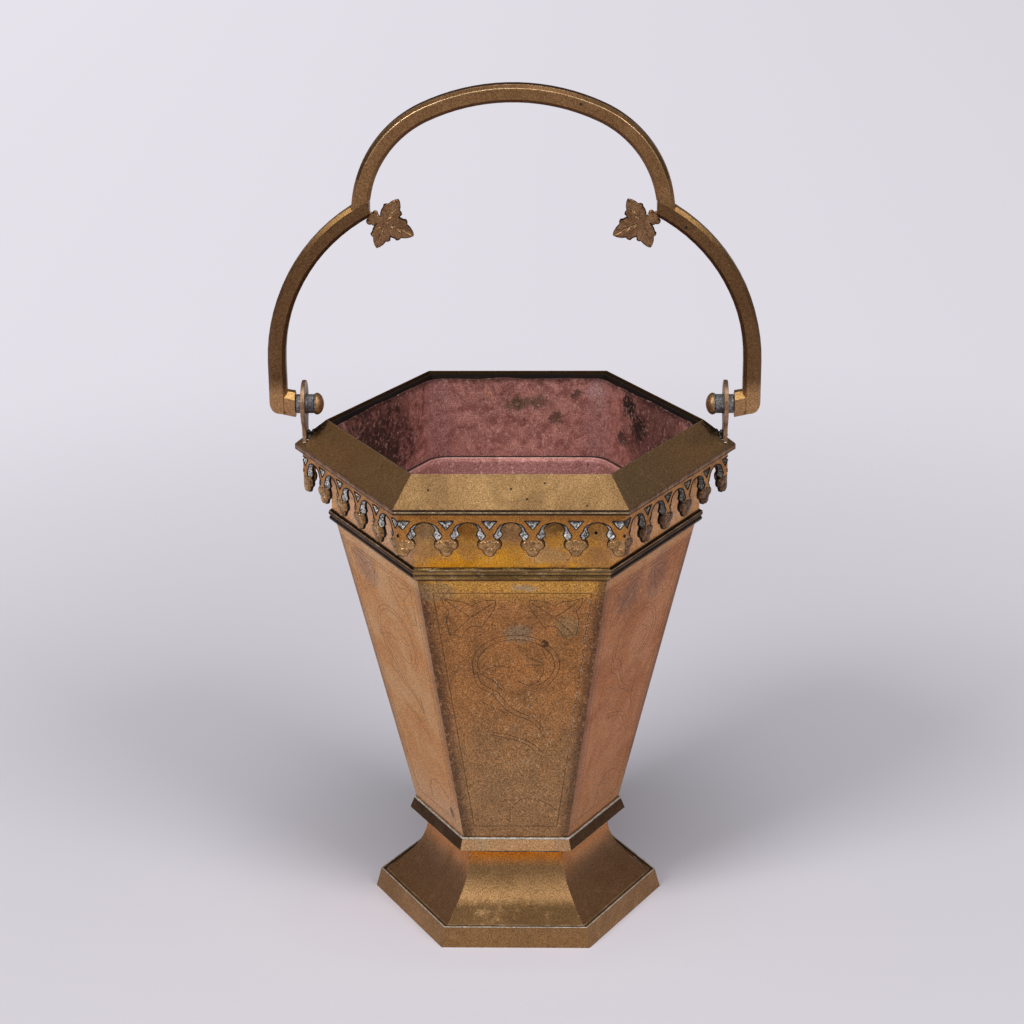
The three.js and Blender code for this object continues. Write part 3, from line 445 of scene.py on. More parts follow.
# Drawn moulding wire: olive on the bead; the sides turned from the light get a nearly black copy, painted shade
mouldingFinishes = {
    "front": finish("drawnBrassMoulding", "#b08c54 #6e542e #e0c898",
                    tarnishSize=10, rubbedSize=5, rubbedAmount=0.6, roughness=(0.2, 0.3), wave=0),
    "other": finish("drawnBrassPaintedShade", "#644622 #422c14 #8c6a3c", roughness=(0.4, 0.5), metallic=1, wave=0),
}
# Foot of the same rolled sheet: gold at the neck, a painted glow of light, and dark in the hollow of the cove,
# painted shade
footFinishes = {
    "front": finish("rolledBrassFootFront", "#b88f5f #a17d53 #caa170", [
        # A painted glow of light up the neck, and painted shade low in the cove
        ("#ff9c22", 0.95, "fade", 30, 38.5, 2), ("#624828", 1, "fade", 19.5, 14.5, 1.5),
    ]),
    "other": finish("rolledBrassFootSide", "#c3946b #9a734d #ddb287", [
        # A painted glow of light up the neck
        ("#e8984a", 0.85, "fade", 24, 37, 4),
    ], roughness=(0.32, 0.45)),
}
plinthFinishes = {"other": finish("rolledBrassPlinth", "#bf9361 #a47e53 #d6ae79")}
# Collar: light tan on the front and a nearly black copy on the other sides, painted light and shade
collarFinishes = {
    "front": finish("bevelledBrassCollar", "#fcc994 #dcaa76 #fcecbf"),
    "other": finish("bevelledBrassPaintedShade", "#6a4a28 #4c3218 #86663c", metallic=1, roughness=(0.4, 0.5)),
}
# Cast bronze with a brown hand patina, lighter where the casting was filed at its edges. Lighter copies on
# faces that turn up on the arms and by the crown, and on the crown's upper arrises, are painted highlights; a
# darker copy on the crown's upper chamfers is painted shade.
gripped = {"roughness": (0.36, 0.48), "metallic": 0.85, "wave": 0}
bailFinish = finish("castBronzeBail", "#805e3c #6a4c30 #92704c", [("#cc9e6e", 0.85, "fade", 258, 250, 2)],
                    tarnishSize=24, tarnishAmount=0.5, **gripped)
leafFinish = finish("castBronzeLeaf", "#a67e59 #7e5b3e #c6a378", tarnishSize=6, roughness=(0.28, 0.4), wave=0)
facetFinish = finish("castBronzeFacet", "#8c6a44 #765436 #a07c54", [("#d8aa6c", 0.75, "fade", 316, 334, 2)],
                     tarnishSize=24, tarnishAmount=0.5, metallic=0.85, wave=0)
leafEdgeFinish = finish("castBronzeLeafEdge", "#3c2a1a #281a10 #5c442c", tarnishSize=4, metallic=1, wave=0)
armFinish = finish("castBronzeArm", "#c49c62 #a47e4c #d4b07c",
                   tarnishSize=16, roughness=(0.4, 0.5), bump=0.05, wave=0)
bailEdgeFinish = finish("castBronzeWorn", "#a07c54 #80603e #b08c62",
                        tarnishSize=24, tarnishAmount=0.4, rubbedAmount=0.1, grainDark="#e8e2da",
                        speckAmount=0, bump=0.03, roughness=(0.26, 0.38), metallic=0.9, wave=0)
crownFinish = finish("castBronzeCrown", "#a47c52 #8a6642 #bc9468", tarnishSize=14, tarnishAmount=0.6, **gripped)
crownHighlightFinish = finish("castBronzePaintedHighlight", "#e4c498 #b8946a #f8e4c4", tarnishSize=12, speckAmount=0,
                         bump=0.05, roughness=(0.3, 0.4), metallic=0.85, wave=0)
chamferFinish = finish("castBronzeChamfer", "#785838 #62462c #8c6a46",
                       roughness=(0.4, 0.5), metallic=0.85, wave=0)
crestFinish = finish("castBronzeCresting", "#d49448 #b47c40 #e4b070", tarnishSize=8, wave=0)
# Pendants, and the carved hollows: silver, partly white metal left in them and partly a painted reflection of
# the lamps on their facets, broken up by black dirt
pendant = {"tarnishSize": 4, "tarnishSoftness": 0.1, "speckSize": 1.4, "roughness": (0.3, 0.42), "wave": 0}
hollow = {
    "tarnishSize": 1.1, "tarnishSoftness": 0.05, "tarnishAmount": 0.9, "rubbedSize": 1, "rubbedAmount": 1,
    "speckSize": 1, "speckAmount": 0.95, "roughness": (0.3, 0.5), "bump": 0.8, "metallic": 0.15, "wave": 0,
}
pendantFinishes = {
    "other": finish("castBronzePendant", "#cfa36e #967249 #f6cf97", **pendant),
    # Towards the right both are darker copies: painted shade
    "front_right": finish("castBronzePendantPaintedShade", "#94704e #604430 #c09c74", **pendant),
}
hollowFinishes = {
    "other": finish("tinnedHollowsAndReflection", "#e8ecec #4a443c #ffffff", rubbedFrom=0.47, speckFrom=0.58, **hollow),
    "front_right": finish("hollowsPaintedShade", "#8c8880 #302a24 #dcdcd8",
                          rubbedFrom=0.55, speckFrom=0.54, **hollow),
}
earFinish = finish("forgedBronzeEar", "#bd9776 #8e7259 #e1c19e", tarnishSize=6, wave=0)
# Steel pin gone grey-black, with light specks of old solder
pinFinish = finish("oxidisedSteelPin", "#a0a2a8 #5c6068 #eceef0", tarnishSize=2.4, rubbedSize=0.9,
                   rubbedFrom=0.54, rubbedAmount=0.8, roughness=(0.4, 0.6), bump=0.8, metallic=0.7, wave=0)
pinBandFinish = finish("solderedPinBand", "#8c8880 #4c4a46 #e0dcd4", tarnishSize=2, rubbedSize=0.9,
                       rubbedFrom=0.5, rubbedAmount=0.9, bump=0.8, metallic=0.6, wave=0)
# Copper sheet under holy water for decades: maroon oxide, mauve bloom, red-brown patches, green-black stains.
# Painted light on it: shade on the inner side walls and below the ledge, a highlight on the ledge, glints by
# the back-right bend.
# Stains, and two pale spots by the back-right bend that are painted glints
linerStainsAndGlints = [  # colour, amount, where, reach and raggedness
    ("#565030", 0.75, (0, 70, 222), 3.6, 0.8), ("#5e4c34", 0.6, (10, 70, 223), 4, 1.4),
    ("#54402e", 0.7, (18, 70, 215), 3.6, 1.4), ("#dcb4b0", 0.7, (37, 68, 229), 4.5, 1.2),
    ("#d4a8a4", 0.6, (39, 66, 222), 3.5, 1.2), ("#565030", 0.6, (-5, 70, 221), 2.4, 1.2),
    ("#565030", 0.6, (5, 70, 223), 2.4, 1.2), ("#4c3a2a", 0.7, (28, 70, 227), 2.6, 1.3),
    ("#e09a78", 0.9, (-14, 70, 227), 1.6, 0.4), ("#1c1c14", 0.95, (53, 49, 228), 6, 1.7),
    ("#201c16", 0.9, (57, 41, 219), 6, 1.7), ("#382e24", 0.8, (50, 54, 210), 4.4, 1.6),
]
linerFinish = finish("oxidisedCopperLiner", "#eeaca0 #a86860 #fcd0c4", [
    # The inner side walls darkened: painted shade, with dark stains on the left
    ("#74443e", 0.7, "spot", (-62, 26, 214), 34, 0.5, 7),
    ("#1c100c", 0.75, "spot", (-62, 22, 206), 30, 1.6, 3),
    ("#5c3630", 0.7, "spot", (62, 26, 214), 28, 0.4, 7),
    ("#c8969a", 0.35, "edge", (40.5, 0), (6, 3), 1.2),
    ("#3c1e1a", 0.7, "fade", 231.5, 234.5, 2, 6),
    # Painted shade below the ledge, and a painted highlight on the ledge
    ("#a06460", 0.6, "fade", 194.2, 192.8, 0.5),
    ("#c48c88", 0.5, "fade", 200, 196.5, 1.5),
    *((tint, amount, "spot", *place, 1.9) for tint, amount, *place in linerStainsAndGlints),
], tarnishSize=7, tarnishAmount=0.95, rubbedSize=1.8, rubbedFrom=0.54, rubbedAmount=0.65, speckSize=1.5,
    speckFrom=0.64, speck="#4a2a26", speckAmount=0.7, grainDark="#b09a90", roughness=(0.5, 0.7), bump=0.5,
    metallic=0.3, waveSize=16, wave=0.9)
# A painted highlight along the ledge's nose
linerNoseHighlightFinish = finish("copperNosePaintedHighlight", "#f8ccc4 #d09c94 #ffece8", tarnishSize=6, metallic=0.3, wave=0)
# Soft solder: fresh grey-white in the seams, grey-black where it is old; the same finish makes the painted
# highlight along the plinth's top
solderAndGleamFinish = finish("softSolderAndGleam", "#e4e0d8 #a49a8c #ffffff", tarnishSize=3, roughness=(0.4, 0.6),
                      metallic=0.25, speckSize=1.8, speckFrom=0.68, wave=0)
oldSolderFinish = finish("oldSolder", "#5c6064 #2c2e30 #b4b8b8", tarnishSize=2.4, rubbedSize=1,
                         rubbedAmount=0.8, roughness=(0.5, 0.7), metallic=0.5, wave=0)
# Pale corroded scratches, and engraved lines with dirt in them, nearly worn away on the sides
wearFinish = finish("corrodedBrassMarks", "#dcc098 #b48e62 #f0e0c4", tarnishSize=3, metallic=0.3, wave=0)
engravedFinish = finish("engravedLine", "#5a3c22 #402a16 #7a5a38",
                        tarnishSize=6, roughness=(0.6, 0.8), metallic=0.2, wave=0)
faintFinish = finish("faintEngravedLine", "#8a6046 #6e4a34 #9a7050",
                     tarnishSize=6, roughness=(0.5, 0.7), metallic=0.4, wave=0)
print("finishes made:", len(bpy.data.materials))


def onSide(finishes, side):
    return finishes.get(side, finishes["other"])


# Mesh helpers
def sideTransform(index):
    return Matrix.Rotation(index * sideTurn, 3, "Z")


# Stores where each corner of each face lies in its own side's frame, with that side turned to the front
def storeSidePlace(mesh):
    stored = mesh.attributes.new("sidePlace", "FLOAT_VECTOR", "CORNER")
    turns = [sideTransform(-index) for index in range(len(sideNames))]
    for face in mesh.polygons:
        around = math.atan2(face.center.y, face.center.x) + math.pi / 2
        turn = turns[round(around / sideTurn) % len(sideNames)]
        for corner in face.loop_indices:
            stored.data[corner].vector = turn @ mesh.vertices[mesh.loops[corner].vertex_index].co


def addPiece(name, mesh, nodes=(), body="bucket"):
    storeSidePlace(mesh)
    piece = addObject(name, mesh)
    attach(piece, body)
    if nodes:
        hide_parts(*nodes)


# Ends a solid: smooth but for its sharp edges, with weighted normals that keep flats flat
def addSolid(name, bm, materials, nodes, body="bucket", smoothUpTo=38):
    for edge in bm.edges:
        edge.smooth = len(edge.link_faces) != 2 or math.degrees(edge.calc_face_angle(0)) < smoothUpTo
    for face in bm.faces:
        face.smooth = True
    mesh = bpy.data.meshes.new(name)
    bm.to_mesh(mesh)
    bm.free()
    for material in materials:
        mesh.materials.append(material)
    draft = addObject("draft", mesh)
    draft.modifiers.new("weighted", "WEIGHTED_NORMAL").keep_sharp = True
    addPiece(name, plainMesh(name, draft), nodes, body)


def sharpEdges(bm, low=30, high=150):
    return [e for e in bm.edges if len(e.link_faces) == 2 and low < math.degrees(e.calc_face_angle(0)) < high]


# The rounding's new faces get the second material
def roundEdges(bm, edges, width):
    bmesh.ops.bevel(bm, geom=edges, offset=width * mm, segments=2, profile=0.5, affect="EDGES", material=1,
                    clamp_overlap=True)


# The edges along a mitred length, but not its mitres
def longEdges(bm, turn):
    chosen = []
    for edge in sharpEdges(bm, 25):
        first, second = (turn @ v.co for v in edge.verts)
        if (first - second).length > 4 * mm and abs(first.x - second.x) > 0.8 * (first - second).length:
            chosen.append(edge)
    return chosen


# A copy of a node's solid with its flats made whole. The solids stand a gap apart at the mitres, which solder
# fills, so a mitred length is given its turn to the front, and its ends move out to meet the next.
seam = {"gap": 0.3, "reach": 0.1}


def nodeCopy(node, turn=None):
    bm = bmesh.new()
    bm.from_mesh(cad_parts[node].data)
    bmesh.ops.remove_doubles(bm, verts=bm.verts, dist=mergeGap)
    bmesh.ops.dissolve_limit(bm, angle_limit=math.radians(0.4), verts=bm.verts, edges=bm.edges)
    if turn:
        step = seam["gap"] * mm / 2 / flatPerCorner
        for vertex in bm.verts:
            at = turn @ vertex.co
            if abs(abs(at.x) - (-at.y * halfPerFlat - step)) < seam["reach"] * mm:
                at.x += math.copysign(step, at.x)
                vertex.co = turn.inverted() @ at
    return bm


def facesFrom(vertices, faces):
    bm = bmesh.new()
    made = [bm.verts.new(place) for place in vertices]
    for face in faces:
        bm.faces.new([made[corner] for corner in face])
    bmesh.ops.recalc_face_normals(bm, faces=bm.faces)
    return bm


# Faces between rings of points that follow each other
def ringFaces(rings, sides, closed=False):
    faces = []
    for ring in range(rings if closed else rings - 1):
        here, following = ring * sides, (ring + 1) % rings * sides
        for i in range(sides):
            faces.append((here + i, here + (i + 1) % sides, following + (i + 1) % sides, following + i))
    return faces


# Points and strokes as a bare mesh for the node trees to start from
def strokeMesh(strokes, closed=False):
    places, edges = [], []
    for stroke in strokes:
        first = len(places)
        places += [Vector(place) * mm for place in stroke]
        edges += [(i, i + 1) for i in range(first, len(places) - 1)]
        if closed:
            edges.append((len(places) - 1, first))
    mesh = bpy.data.meshes.new("strokes")
    mesh.from_pydata(places, edges, [])
    return mesh


def addLines(name, start, slot, material, radius, step=1.0, wander=0.0, swell=0.0, sides=6, body="bucket"):
    addPiece(name, grown(name, start, lineTree, {
        "Radius": radius * mm, "Step": step * mm, "Wander": wander * mm, "Swell": swell, "Sides": sides,
        "Material": material,
    }), body=body)


def addDots(name, places, slot, material, radius, squash, vary=0.0, seed=1, turn=(0, 0, 0), body="bucket"):
    addPiece(name, grown(name, strokeMesh([[place] for place in places]), dotTree, {
        "Radius": radius * mm, "Squash": squash, "Turn": turn, "Vary": vary, "Seed": seed, "Material": material,
    }), body=body)


# The points of a smooth curve through the given ones
def through(points, steps=5):
    ends = [points[0], *points, points[-1]]
    smoothed = []
    for near in zip(ends, ends[1:], ends[2:], ends[3:]):
        for t in (step / steps for step in range(steps)):
            smoothed.append(tuple(
                0.5 * (2 * b + (c - a) * t + (2 * a - 5 * b + 4 * c - d) * t ** 2
                       + (3 * b - a - 3 * c + d) * t ** 3)
                for a, b, c, d in zip(*near)
            ))
    return smoothed + [points[-1]]


# Sides made of mitred sheet: slot, finishes and the rounding of their long edges
mitredSheet = {
    "plinth": ("foot_brass", plinthFinishes, 0.35),
    "collar": ("foot_brass", collarFinishes, 0.3),
    "foot_gore": ("foot_brass", footFinishes, 0),
    "body_panel": ("body_brass", bodyFinishes, 0),
    "shoulder_moulding": ("moulding_brass", mouldingFinishes, 0),
    "rim": ("rim_brass", rimFinishes, 0.35),
}
plinth = {"wornDepth": 0.5}  # down from its top, where its flat is rubbed bright
lip = {"height": 2.4, "arris": 0.1, "inset": 0.2, "wornReach": 1}


# The rim's lip leans in a little at its arris, and has its own finish
def finishLip(bm, node, turn):
    outer = max(-(turn @ vertex.co).y for vertex in bm.verts)
    for vertex in bm.verts:
        if -(turn @ vertex.co).y > outer - lip["arris"] * mm:
            vertex.co += turn.inverted() @ Vector((0, lip["inset"] * mm, 0))
    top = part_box(node)[0].z + lip["height"] * mm
    for face in bm.faces:
        middle = face.calc_center_median()
        outward = face.normal.dot(Vector((*middle.xy, 0)).normalized()) > 0.9
        if outward or middle.z < top + lip["arris"] * mm:
            face.material_index = 2
        elif face.material_index and middle.z < top + lip["wornReach"] * mm:
            face.material_index = 0


def addMitredSheet():
    for base, (slot, finishes, rounding) in mitredSheet.items():
        for index, side in enumerate(sideNames):
            node, turn = f"{base}_{side}", sideTransform(-index)
            bm = nodeCopy(node, turn)
            if rounding:
                roundEdges(bm, longEdges(bm, turn), rounding)
            if base == "plinth":
                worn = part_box(node)[1].z - plinth["wornDepth"] * mm
                for face in bm.faces:
                    if face.normal.z > 0.9 and face.calc_center_median().z > worn:
                        face.material_index = 1
            if base == "rim":
                finishLip(bm, node, turn)
            materials = [onSide(finishes, side), wornEdgeAndGlintFinish, onSide(lipFinishes, side)]
            addSolid(node + "_sheet", bm, materials, [node])
    print("mitred sheet made")


# The bail: heights above the pins, radii and half spans of the bar's middle line
bail = {
    "pinHeight": 245, "bar": 8, "chamfer": 1.6, "wornWidth": 0.3,
    "halfSpan": 67, "archRise": 53.4, "haunchShare": 0.927, "sink": 3.6,
    "sideRadius": 79.4, "springing": 20.5, "sideHalfSpan": 106.3, "armTop": 8.2, "seat": 0.02, "footReach": 0.1,
    "facetFrom": 72, "stepAngle": 3,
}
bailMaterials = [bailFinish, bailEdgeFinish, armFinish, facetFinish]
copies = {  # slot, body, rounding of the edges and materials
    "ear_right": ("ear_bronze", "bucket", 0.45, [earFinish] * 2),
    "ear_left": ("ear_bronze", "bucket", 0.45, [earFinish] * 2),
    "bail_side_right": ("bail_bronze", "bail", 0.3, bailMaterials),
    "bail_side_left": ("bail_bronze", "bail", 0.3, bailMaterials),
    "body_floor": ("moulding_brass", "bucket", 0, [onSide(mouldingFinishes, "back")]),
    "liner_floor": ("liner_copper", "bucket", 0, [linerFinish]),
}


def addSimpleCopies():
    for node, (slot, body, rounding, materials) in copies.items():
        bm = nodeCopy(node)
        if rounding:
            roundEdges(bm, sharpEdges(bm), rounding)
        # Faces that turn up on the side arcs' outer parts get lighter finishes: painted highlights
        if materials is bailMaterials:
            for face in bm.faces:
                middle = face.calc_center_median() / mm
                if face.normal.z > 0.3 and face.material_index == 0 and abs(middle.x) > bail["facetFrom"]:
                    face.material_index = 2 if middle.z < bail["pinHeight"] + bail["armTop"] else 3
        addSolid(node + "_worn", bm, materials, [node], body)
    bm = nodeCopy("frieze_band")
    # The frieze's inward faces get the near-black finish: painted shade
    for face in bm.faces:
        face.material_index = int(face.normal.dot(Vector((*face.calc_center_median().xy, 0))) < 0)
    addSolid("frieze_band_sheet", bm, [friezeFinish, sootAndShadeFinish], ["frieze_band"])
    print("castings and copies made")


# Pins and heads, turned about the hinge's axis
turning = {
    "sides": 56, "domeSteps": 12, "band": 0.9, "bandGroove": 0.25, "arris": 0.25,
    "spigotInset": 2, "tenonInset": 1.7, "tenonLength": 5,
}


def turnedAlongX(profile, direction, height):
    sides = turning["sides"]
    turns = [2 * math.pi * i / sides for i in range(sides)]
    places = [(direction * x, r * math.cos(turn), height + r * math.sin(turn))
              for x, r in profile for turn in turns]
    last = (len(profile) - 1) * sides
    ends = [tuple(range(sides))[::-1], tuple(range(last, last + sides))]
    return facesFrom(places, ringFaces(len(profile), sides) + ends)


def addTurnedPieces():
    band, grooveDepth, edge, spigotInset, tenonInset, tenonLength = (turning[key] * mm for key in (
        "band", "bandGroove", "arris", "spigotInset", "tenonInset", "tenonLength"))
    for side, direction in (("right", 1), ("left", -1)):
        low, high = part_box(f"bail_pin_{side}")
        radius, height = (high.z - low.z) / 2, (high.z + low.z) / 2
        inner, outer = sorted(abs(x) for x in (low.x, high.x))
        headLow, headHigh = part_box(f"pin_head_{side}")
        nose, seat = sorted(abs(x) for x in (headLow.x, headHigh.x))
        headRadius = (headHigh.z - headLow.z) / 2
        shoulder = outer - tenonLength
        pin = turnedAlongX([
            (inner, radius - spigotInset), (seat, radius - spigotInset), (seat, radius - edge),
            (seat + edge, radius), (shoulder - edge, radius), (shoulder, radius - edge),
            (shoulder, radius - tenonInset), (outer, radius - tenonInset),
        ], direction, height)
        addSolid(f"bail_pin_{side}_turned", pin, [pinFinish], [f"bail_pin_{side}"], "bail")
        dome = seat - band - nose
        profile = []
        for step in range(turning["domeSteps"] + 1):
            turn = max(0.04, step / turning["domeSteps"]) * math.pi / 2
            profile.append((seat - band - dome * math.cos(turn), headRadius * math.sin(turn)))
        groove = headRadius - grooveDepth
        profile += [(seat - 0.8 * band, groove), (seat - edge, groove), (seat, groove - edge)]
        head = turnedAlongX(profile, direction, height)
        for face in head.faces:
            face.material_index = int(abs(face.calc_center_median().x) > seat - band)
        addSolid(f"pin_head_{side}_turned", head, [bailFinish, pinBandFinish],
                 [f"pin_head_{side}"], "bail")
    print("pins and heads made")


# Bail crown: three arcs, swept with the chamfered bar, its feet let into the side arcs' upper chamfers
def arcPoints(centre, radius, start, end):
    count = max(2, round(abs(math.degrees(end - start)) / bail["stepAngle"]))
    turns = [start + (end - start) * i / count for i in range(count + 1)]
    return [(centre[0] + radius * math.cos(turn), 0, centre[1] + radius * math.sin(turn)) for turn in turns]


def addCrown():
    sideX = bail["sideHalfSpan"] - bail["sideRadius"]
    sideZ = bail["pinHeight"] + bail["springing"]
    outside = bail["sideRadius"] + bail["bar"] / 2
    cut = outside - bail["chamfer"] + bail["seat"]
    outerFace = bail["halfSpan"] + bail["bar"] / 2
    foot = sideZ + math.sqrt(outside ** 2 - (outerFace - sideX) ** 2) - bail["sink"]
    rise, haunch = bail["archRise"], bail["haunchShare"] * bail["archRise"]
    haunchX = bail["halfSpan"] - haunch
    top = (haunchX ** 2 + rise ** 2 - haunch ** 2) / (2 * (rise - haunch))
    topZ = foot + rise - top
    turn = math.atan2(foot - topZ, haunchX)
    right = [(bail["halfSpan"], 0, foot - 2 * bail["chamfer"])] + arcPoints((haunchX, foot), haunch, 0, turn)
    middle = arcPoints((0, topZ), top, turn, math.pi - turn)
    left = [(-x, y, z) for x, y, z in reversed(right)]
    mesh = grown("crownBar", strokeMesh([right + middle[1:] + left[1:]]), barTree, {
        "Bar": bail["bar"] * mm, "Chamfer": bail["chamfer"] * mm, "Cut Radius": cut * mm,
        "Cut Right": (sideX * mm, 0, sideZ * mm), "Cut Left": (-sideX * mm, 0, sideZ * mm),
        "Material": crownFinish,
    })
    bm = bmesh.new()
    bm.from_mesh(mesh)
    bmesh.ops.remove_doubles(bm, verts=bm.verts, dist=mergeGap)
    bmesh.ops.recalc_face_normals(bm, faces=bm.faces)
    feet = {vertex for vertex in bm.verts if min(
        math.hypot(vertex.co.x - side * sideX * mm, vertex.co.z - sideZ * mm) for side in (-1, 1)
    ) < (cut + bail["footReach"]) * mm}
    # The upper chamfers get a darker copy: painted shade
    for face in bm.faces:  # the upper chamfers are darker
        face.material_index = 2 if abs(face.normal.y) < 0.9 and face.normal.z > 0.2 else 0
    roundEdges(bm, [edge for edge in sharpEdges(bm) if not feet.issuperset(edge.verts)], bail["wornWidth"])
    # The light finish on the arrises that face up is a painted highlight
    for face in bm.faces:  # only arrises that face up are gripped
        if face.material_index == 1 and face.normal.z < 0.1:
            face.material_index = 0
    addSolid("bail_crown_bar", bm, [crownFinish, crownHighlightFinish, chamferFinish],
             ["bail_crown"], "bail")
    print("crown made")


# Leaves at the cusps: pillowy leaflets with sunk ribs, a stem and a knobbed bud
leaf = {
    "centre": (56.2, 328.6), "axis": 205, "sideAngle": 85, "middle": 13.6, "side": 12,
    "rows": 24, "columns": 16, "edge": 0.3, "full": 0.98,
    "rib": 0.5, "ribWidth": 0.1, "vein": 0.45, "veinWidth": 0.4,
    "stem": (8.2, 1.8, 3.4), "stemMiddle": 3.1, "budReach": 5.2, "budDepth": 0.95,
    "buds": [((0, 0), 2.5), ((-0.4, 2.1), 1.3), ((0.4, -2.3), 1.3), ((2.2, -1.6), 1.6), ((1.9, 0.9), 1.9)],
    "lineRadius": 0.2, "lineSunk": 0.02, "lineStations": (-0.05, 0.3, 0.6, 0.86),
}
leaflets = [(leaf["middle"], 0), (leaf["side"], leaf["sideAngle"]), (leaf["side"], -leaf["sideAngle"])]
# Half outline of one leaflet: along its rib and across it, both as shares of its length
leafletShares = [
    (0, 0.16), (0.1, 0.27), (0.22, 0.34), (0.36, 0.37), (0.48, 0.36), (0.57, 0.39), (0.64, 0.33), (0.67, 0.25),
    (0.8, 0.2), (0.93, 0.11), (1, 0.03),
]
leafVeins = [((0.1, 0), (0.3, 0.3)), ((0.26, 0), (0.54, 0.32)), ((0.5, 0), (0.8, 0.15))]


def veinGap(along, across):
    gaps = []
    for start, end in leafVeins:
        reach = Vector(end) - Vector(start)
        toPoint = Vector((along, abs(across))) - Vector(start)
        share = min(1, max(0, toPoint.dot(reach) / reach.length_squared))
        gaps.append((toPoint - share * reach).length)
    return min(gaps)


def leafletSolid(length, angle):
    even = {i / leaf["rows"] for i in range(leaf["rows"] + 1)}
    stations = sorted({along for along, across in leafletShares} | even)
    shares = [2 * i / leaf["columns"] - 1 for i in range(leaf["columns"] + 1)]
    turn = math.radians(angle)
    front = []
    for along in stations:
        after = next(i for i, (at, wide) in enumerate(leafletShares) if at >= along)
        (at0, wide0), (at1, wide1) = leafletShares[max(0, after - 1)], leafletShares[after]
        wide = wide1 if at1 == at0 else wide0 + (wide1 - wide0) * (along - at0) / (at1 - at0)
        for share in shares:
            swell = math.sqrt(max(0, 1 - abs(share) ** 3)) * (1 - 0.5 * along ** 4)
            height = leaf["edge"] + (leaf["full"] - leaf["edge"]) * swell
            height -= leaf["rib"] * swell * math.exp(-(share / leaf["ribWidth"]) ** 2)
            gap = veinGap(along, share * wide) * length
            height -= leaf["vein"] * swell * math.exp(-(gap / leaf["veinWidth"]) ** 2)
            x, z = along * length, share * wide * length
            front.append((
                x * math.cos(turn) - z * math.sin(turn), -height, x * math.sin(turn) + z * math.cos(turn),
            ))
    back = [(x, -y, z) for x, y, z in front]
    rows, columns, count = len(stations), len(shares), len(front)
    faces = []
    for row in range(rows - 1):
        for column in range(columns - 1):
            a = row * columns + column
            faces.append((a, a + 1, a + columns + 1, a + columns))
            faces.append((count + a + columns, count + a + columns + 1, count + a + 1, count + a))
    border = [i for i in range(columns)] + [row * columns + columns - 1 for row in range(1, rows)]
    border += [(rows - 1) * columns + column for column in range(columns - 2, -1, -1)]
    border += [row * columns for row in range(rows - 2, 0, -1)]
    for here, following in zip(border, border[1:] + border[:1]):
        faces.append((following, here, count + here, count + following))
    bm = facesFrom(front + back, faces)
    plain = 2 * (rows - 1) * (columns - 1)
    for number, face in enumerate(bm.faces):
        face.material_index = int(number >= plain or (number // 2) % (columns - 1) in (0, columns - 2))
    return bm


def addLeaves():
    axis = math.radians(leaf["axis"])
    stemEnd = Vector((-math.cos(axis), 0, -math.sin(axis)))
    whole = bmesh.new()
    for length, angle in leaflets:
        part = leafletSolid(length, leaf["axis"] + angle)
        held = bpy.data.meshes.new("leaflet")
        part.to_mesh(held)
        whole.from_mesh(held)
        part.free()
    lengthwise = Matrix.Rotation(-math.atan2(stemEnd.z, stemEnd.x), 4, "Y")
    stem = Matrix.Translation(stemEnd * leaf["stemMiddle"]) @ lengthwise @ Matrix.Diagonal((*leaf["stem"], 1))
    bmesh.ops.create_cube(whole, size=1, matrix=stem)
    for (x, z), radius in leaf["buds"]:
        squash = Matrix.Diagonal((1, leaf["budDepth"] / radius, 1, 1))
        bud = Matrix.Translation(stemEnd * leaf["budReach"] + Vector((x, 0, z))) @ squash
        bmesh.ops.create_icosphere(whole, subdivisions=3, radius=radius, matrix=bud)
    centreX, centreZ = leaf["centre"]
    for side, direction in (("right", 1), ("left", -1)):
        bm = whole.copy()
        for vertex in bm.verts:
            x, y, z = vertex.co
            vertex.co = (direction * (centreX + x) * mm, y * mm, (centreZ + z) * mm)
        if direction < 0:
            bmesh.ops.reverse_faces(bm, faces=bm.faces)
        addSolid(f"bail_leaf_{side}_relief", bm, [leafFinish, leafEdgeFinish],
                 [f"bail_leaf_{side}"], "bail", 60)
    whole.free()
    strokes = []
    depth = leaf["full"] - leaf["rib"] - leaf["lineSunk"]
    for length, angle in leaflets:
        turn = math.radians(leaf["axis"] + angle)
        for direction in (1, -1):
            for face in (1, -1):
                strokes.append([
                    (direction * (centreX + along * length * math.cos(turn)), face * depth,
                     centreZ + along * length * math.sin(turn)) for along in leaf["lineStations"]
                ])
    # Bright lines along the leaflets' ribs: painted highlight
    addLines("bail_leaf_ribs", strokeMesh(strokes), "bail_bronze", highlightFinish, leaf["lineRadius"],
             1.0, 0.1, 1.2, body="bail")
    print("leaves made")


# Liner: bent sheet with a ragged top, a ledge with a rounded nose and a dented, tapered well
liner = {
    "top": 235.2, "neck": 70.25, "ledge": 195.1, "nose": 66.45, "noseRound": 1.5, "noseSteps": 4,
    "floor": 45, "floorFlat": 38.47, "sheet": 1, "cornerRadius": 11, "cornerSteps": 7, "flatSteps": 26,
    "rowStep": 3.2, "ragged": 1.7, "raggedSize": 14, "dent": 0.32, "dentSize": 19,
}
# A dark line where the ledge meets the wall is painted shade, a light one along the ledge a painted highlight
linerLines = {  # flat distance, height, radius and material
    "liner_groove": (69.85, 195.2, 0.4, sootAndShadeFinish), "liner_nose": (68.15, 195, 0.45, linerNoseHighlightFinish),
}


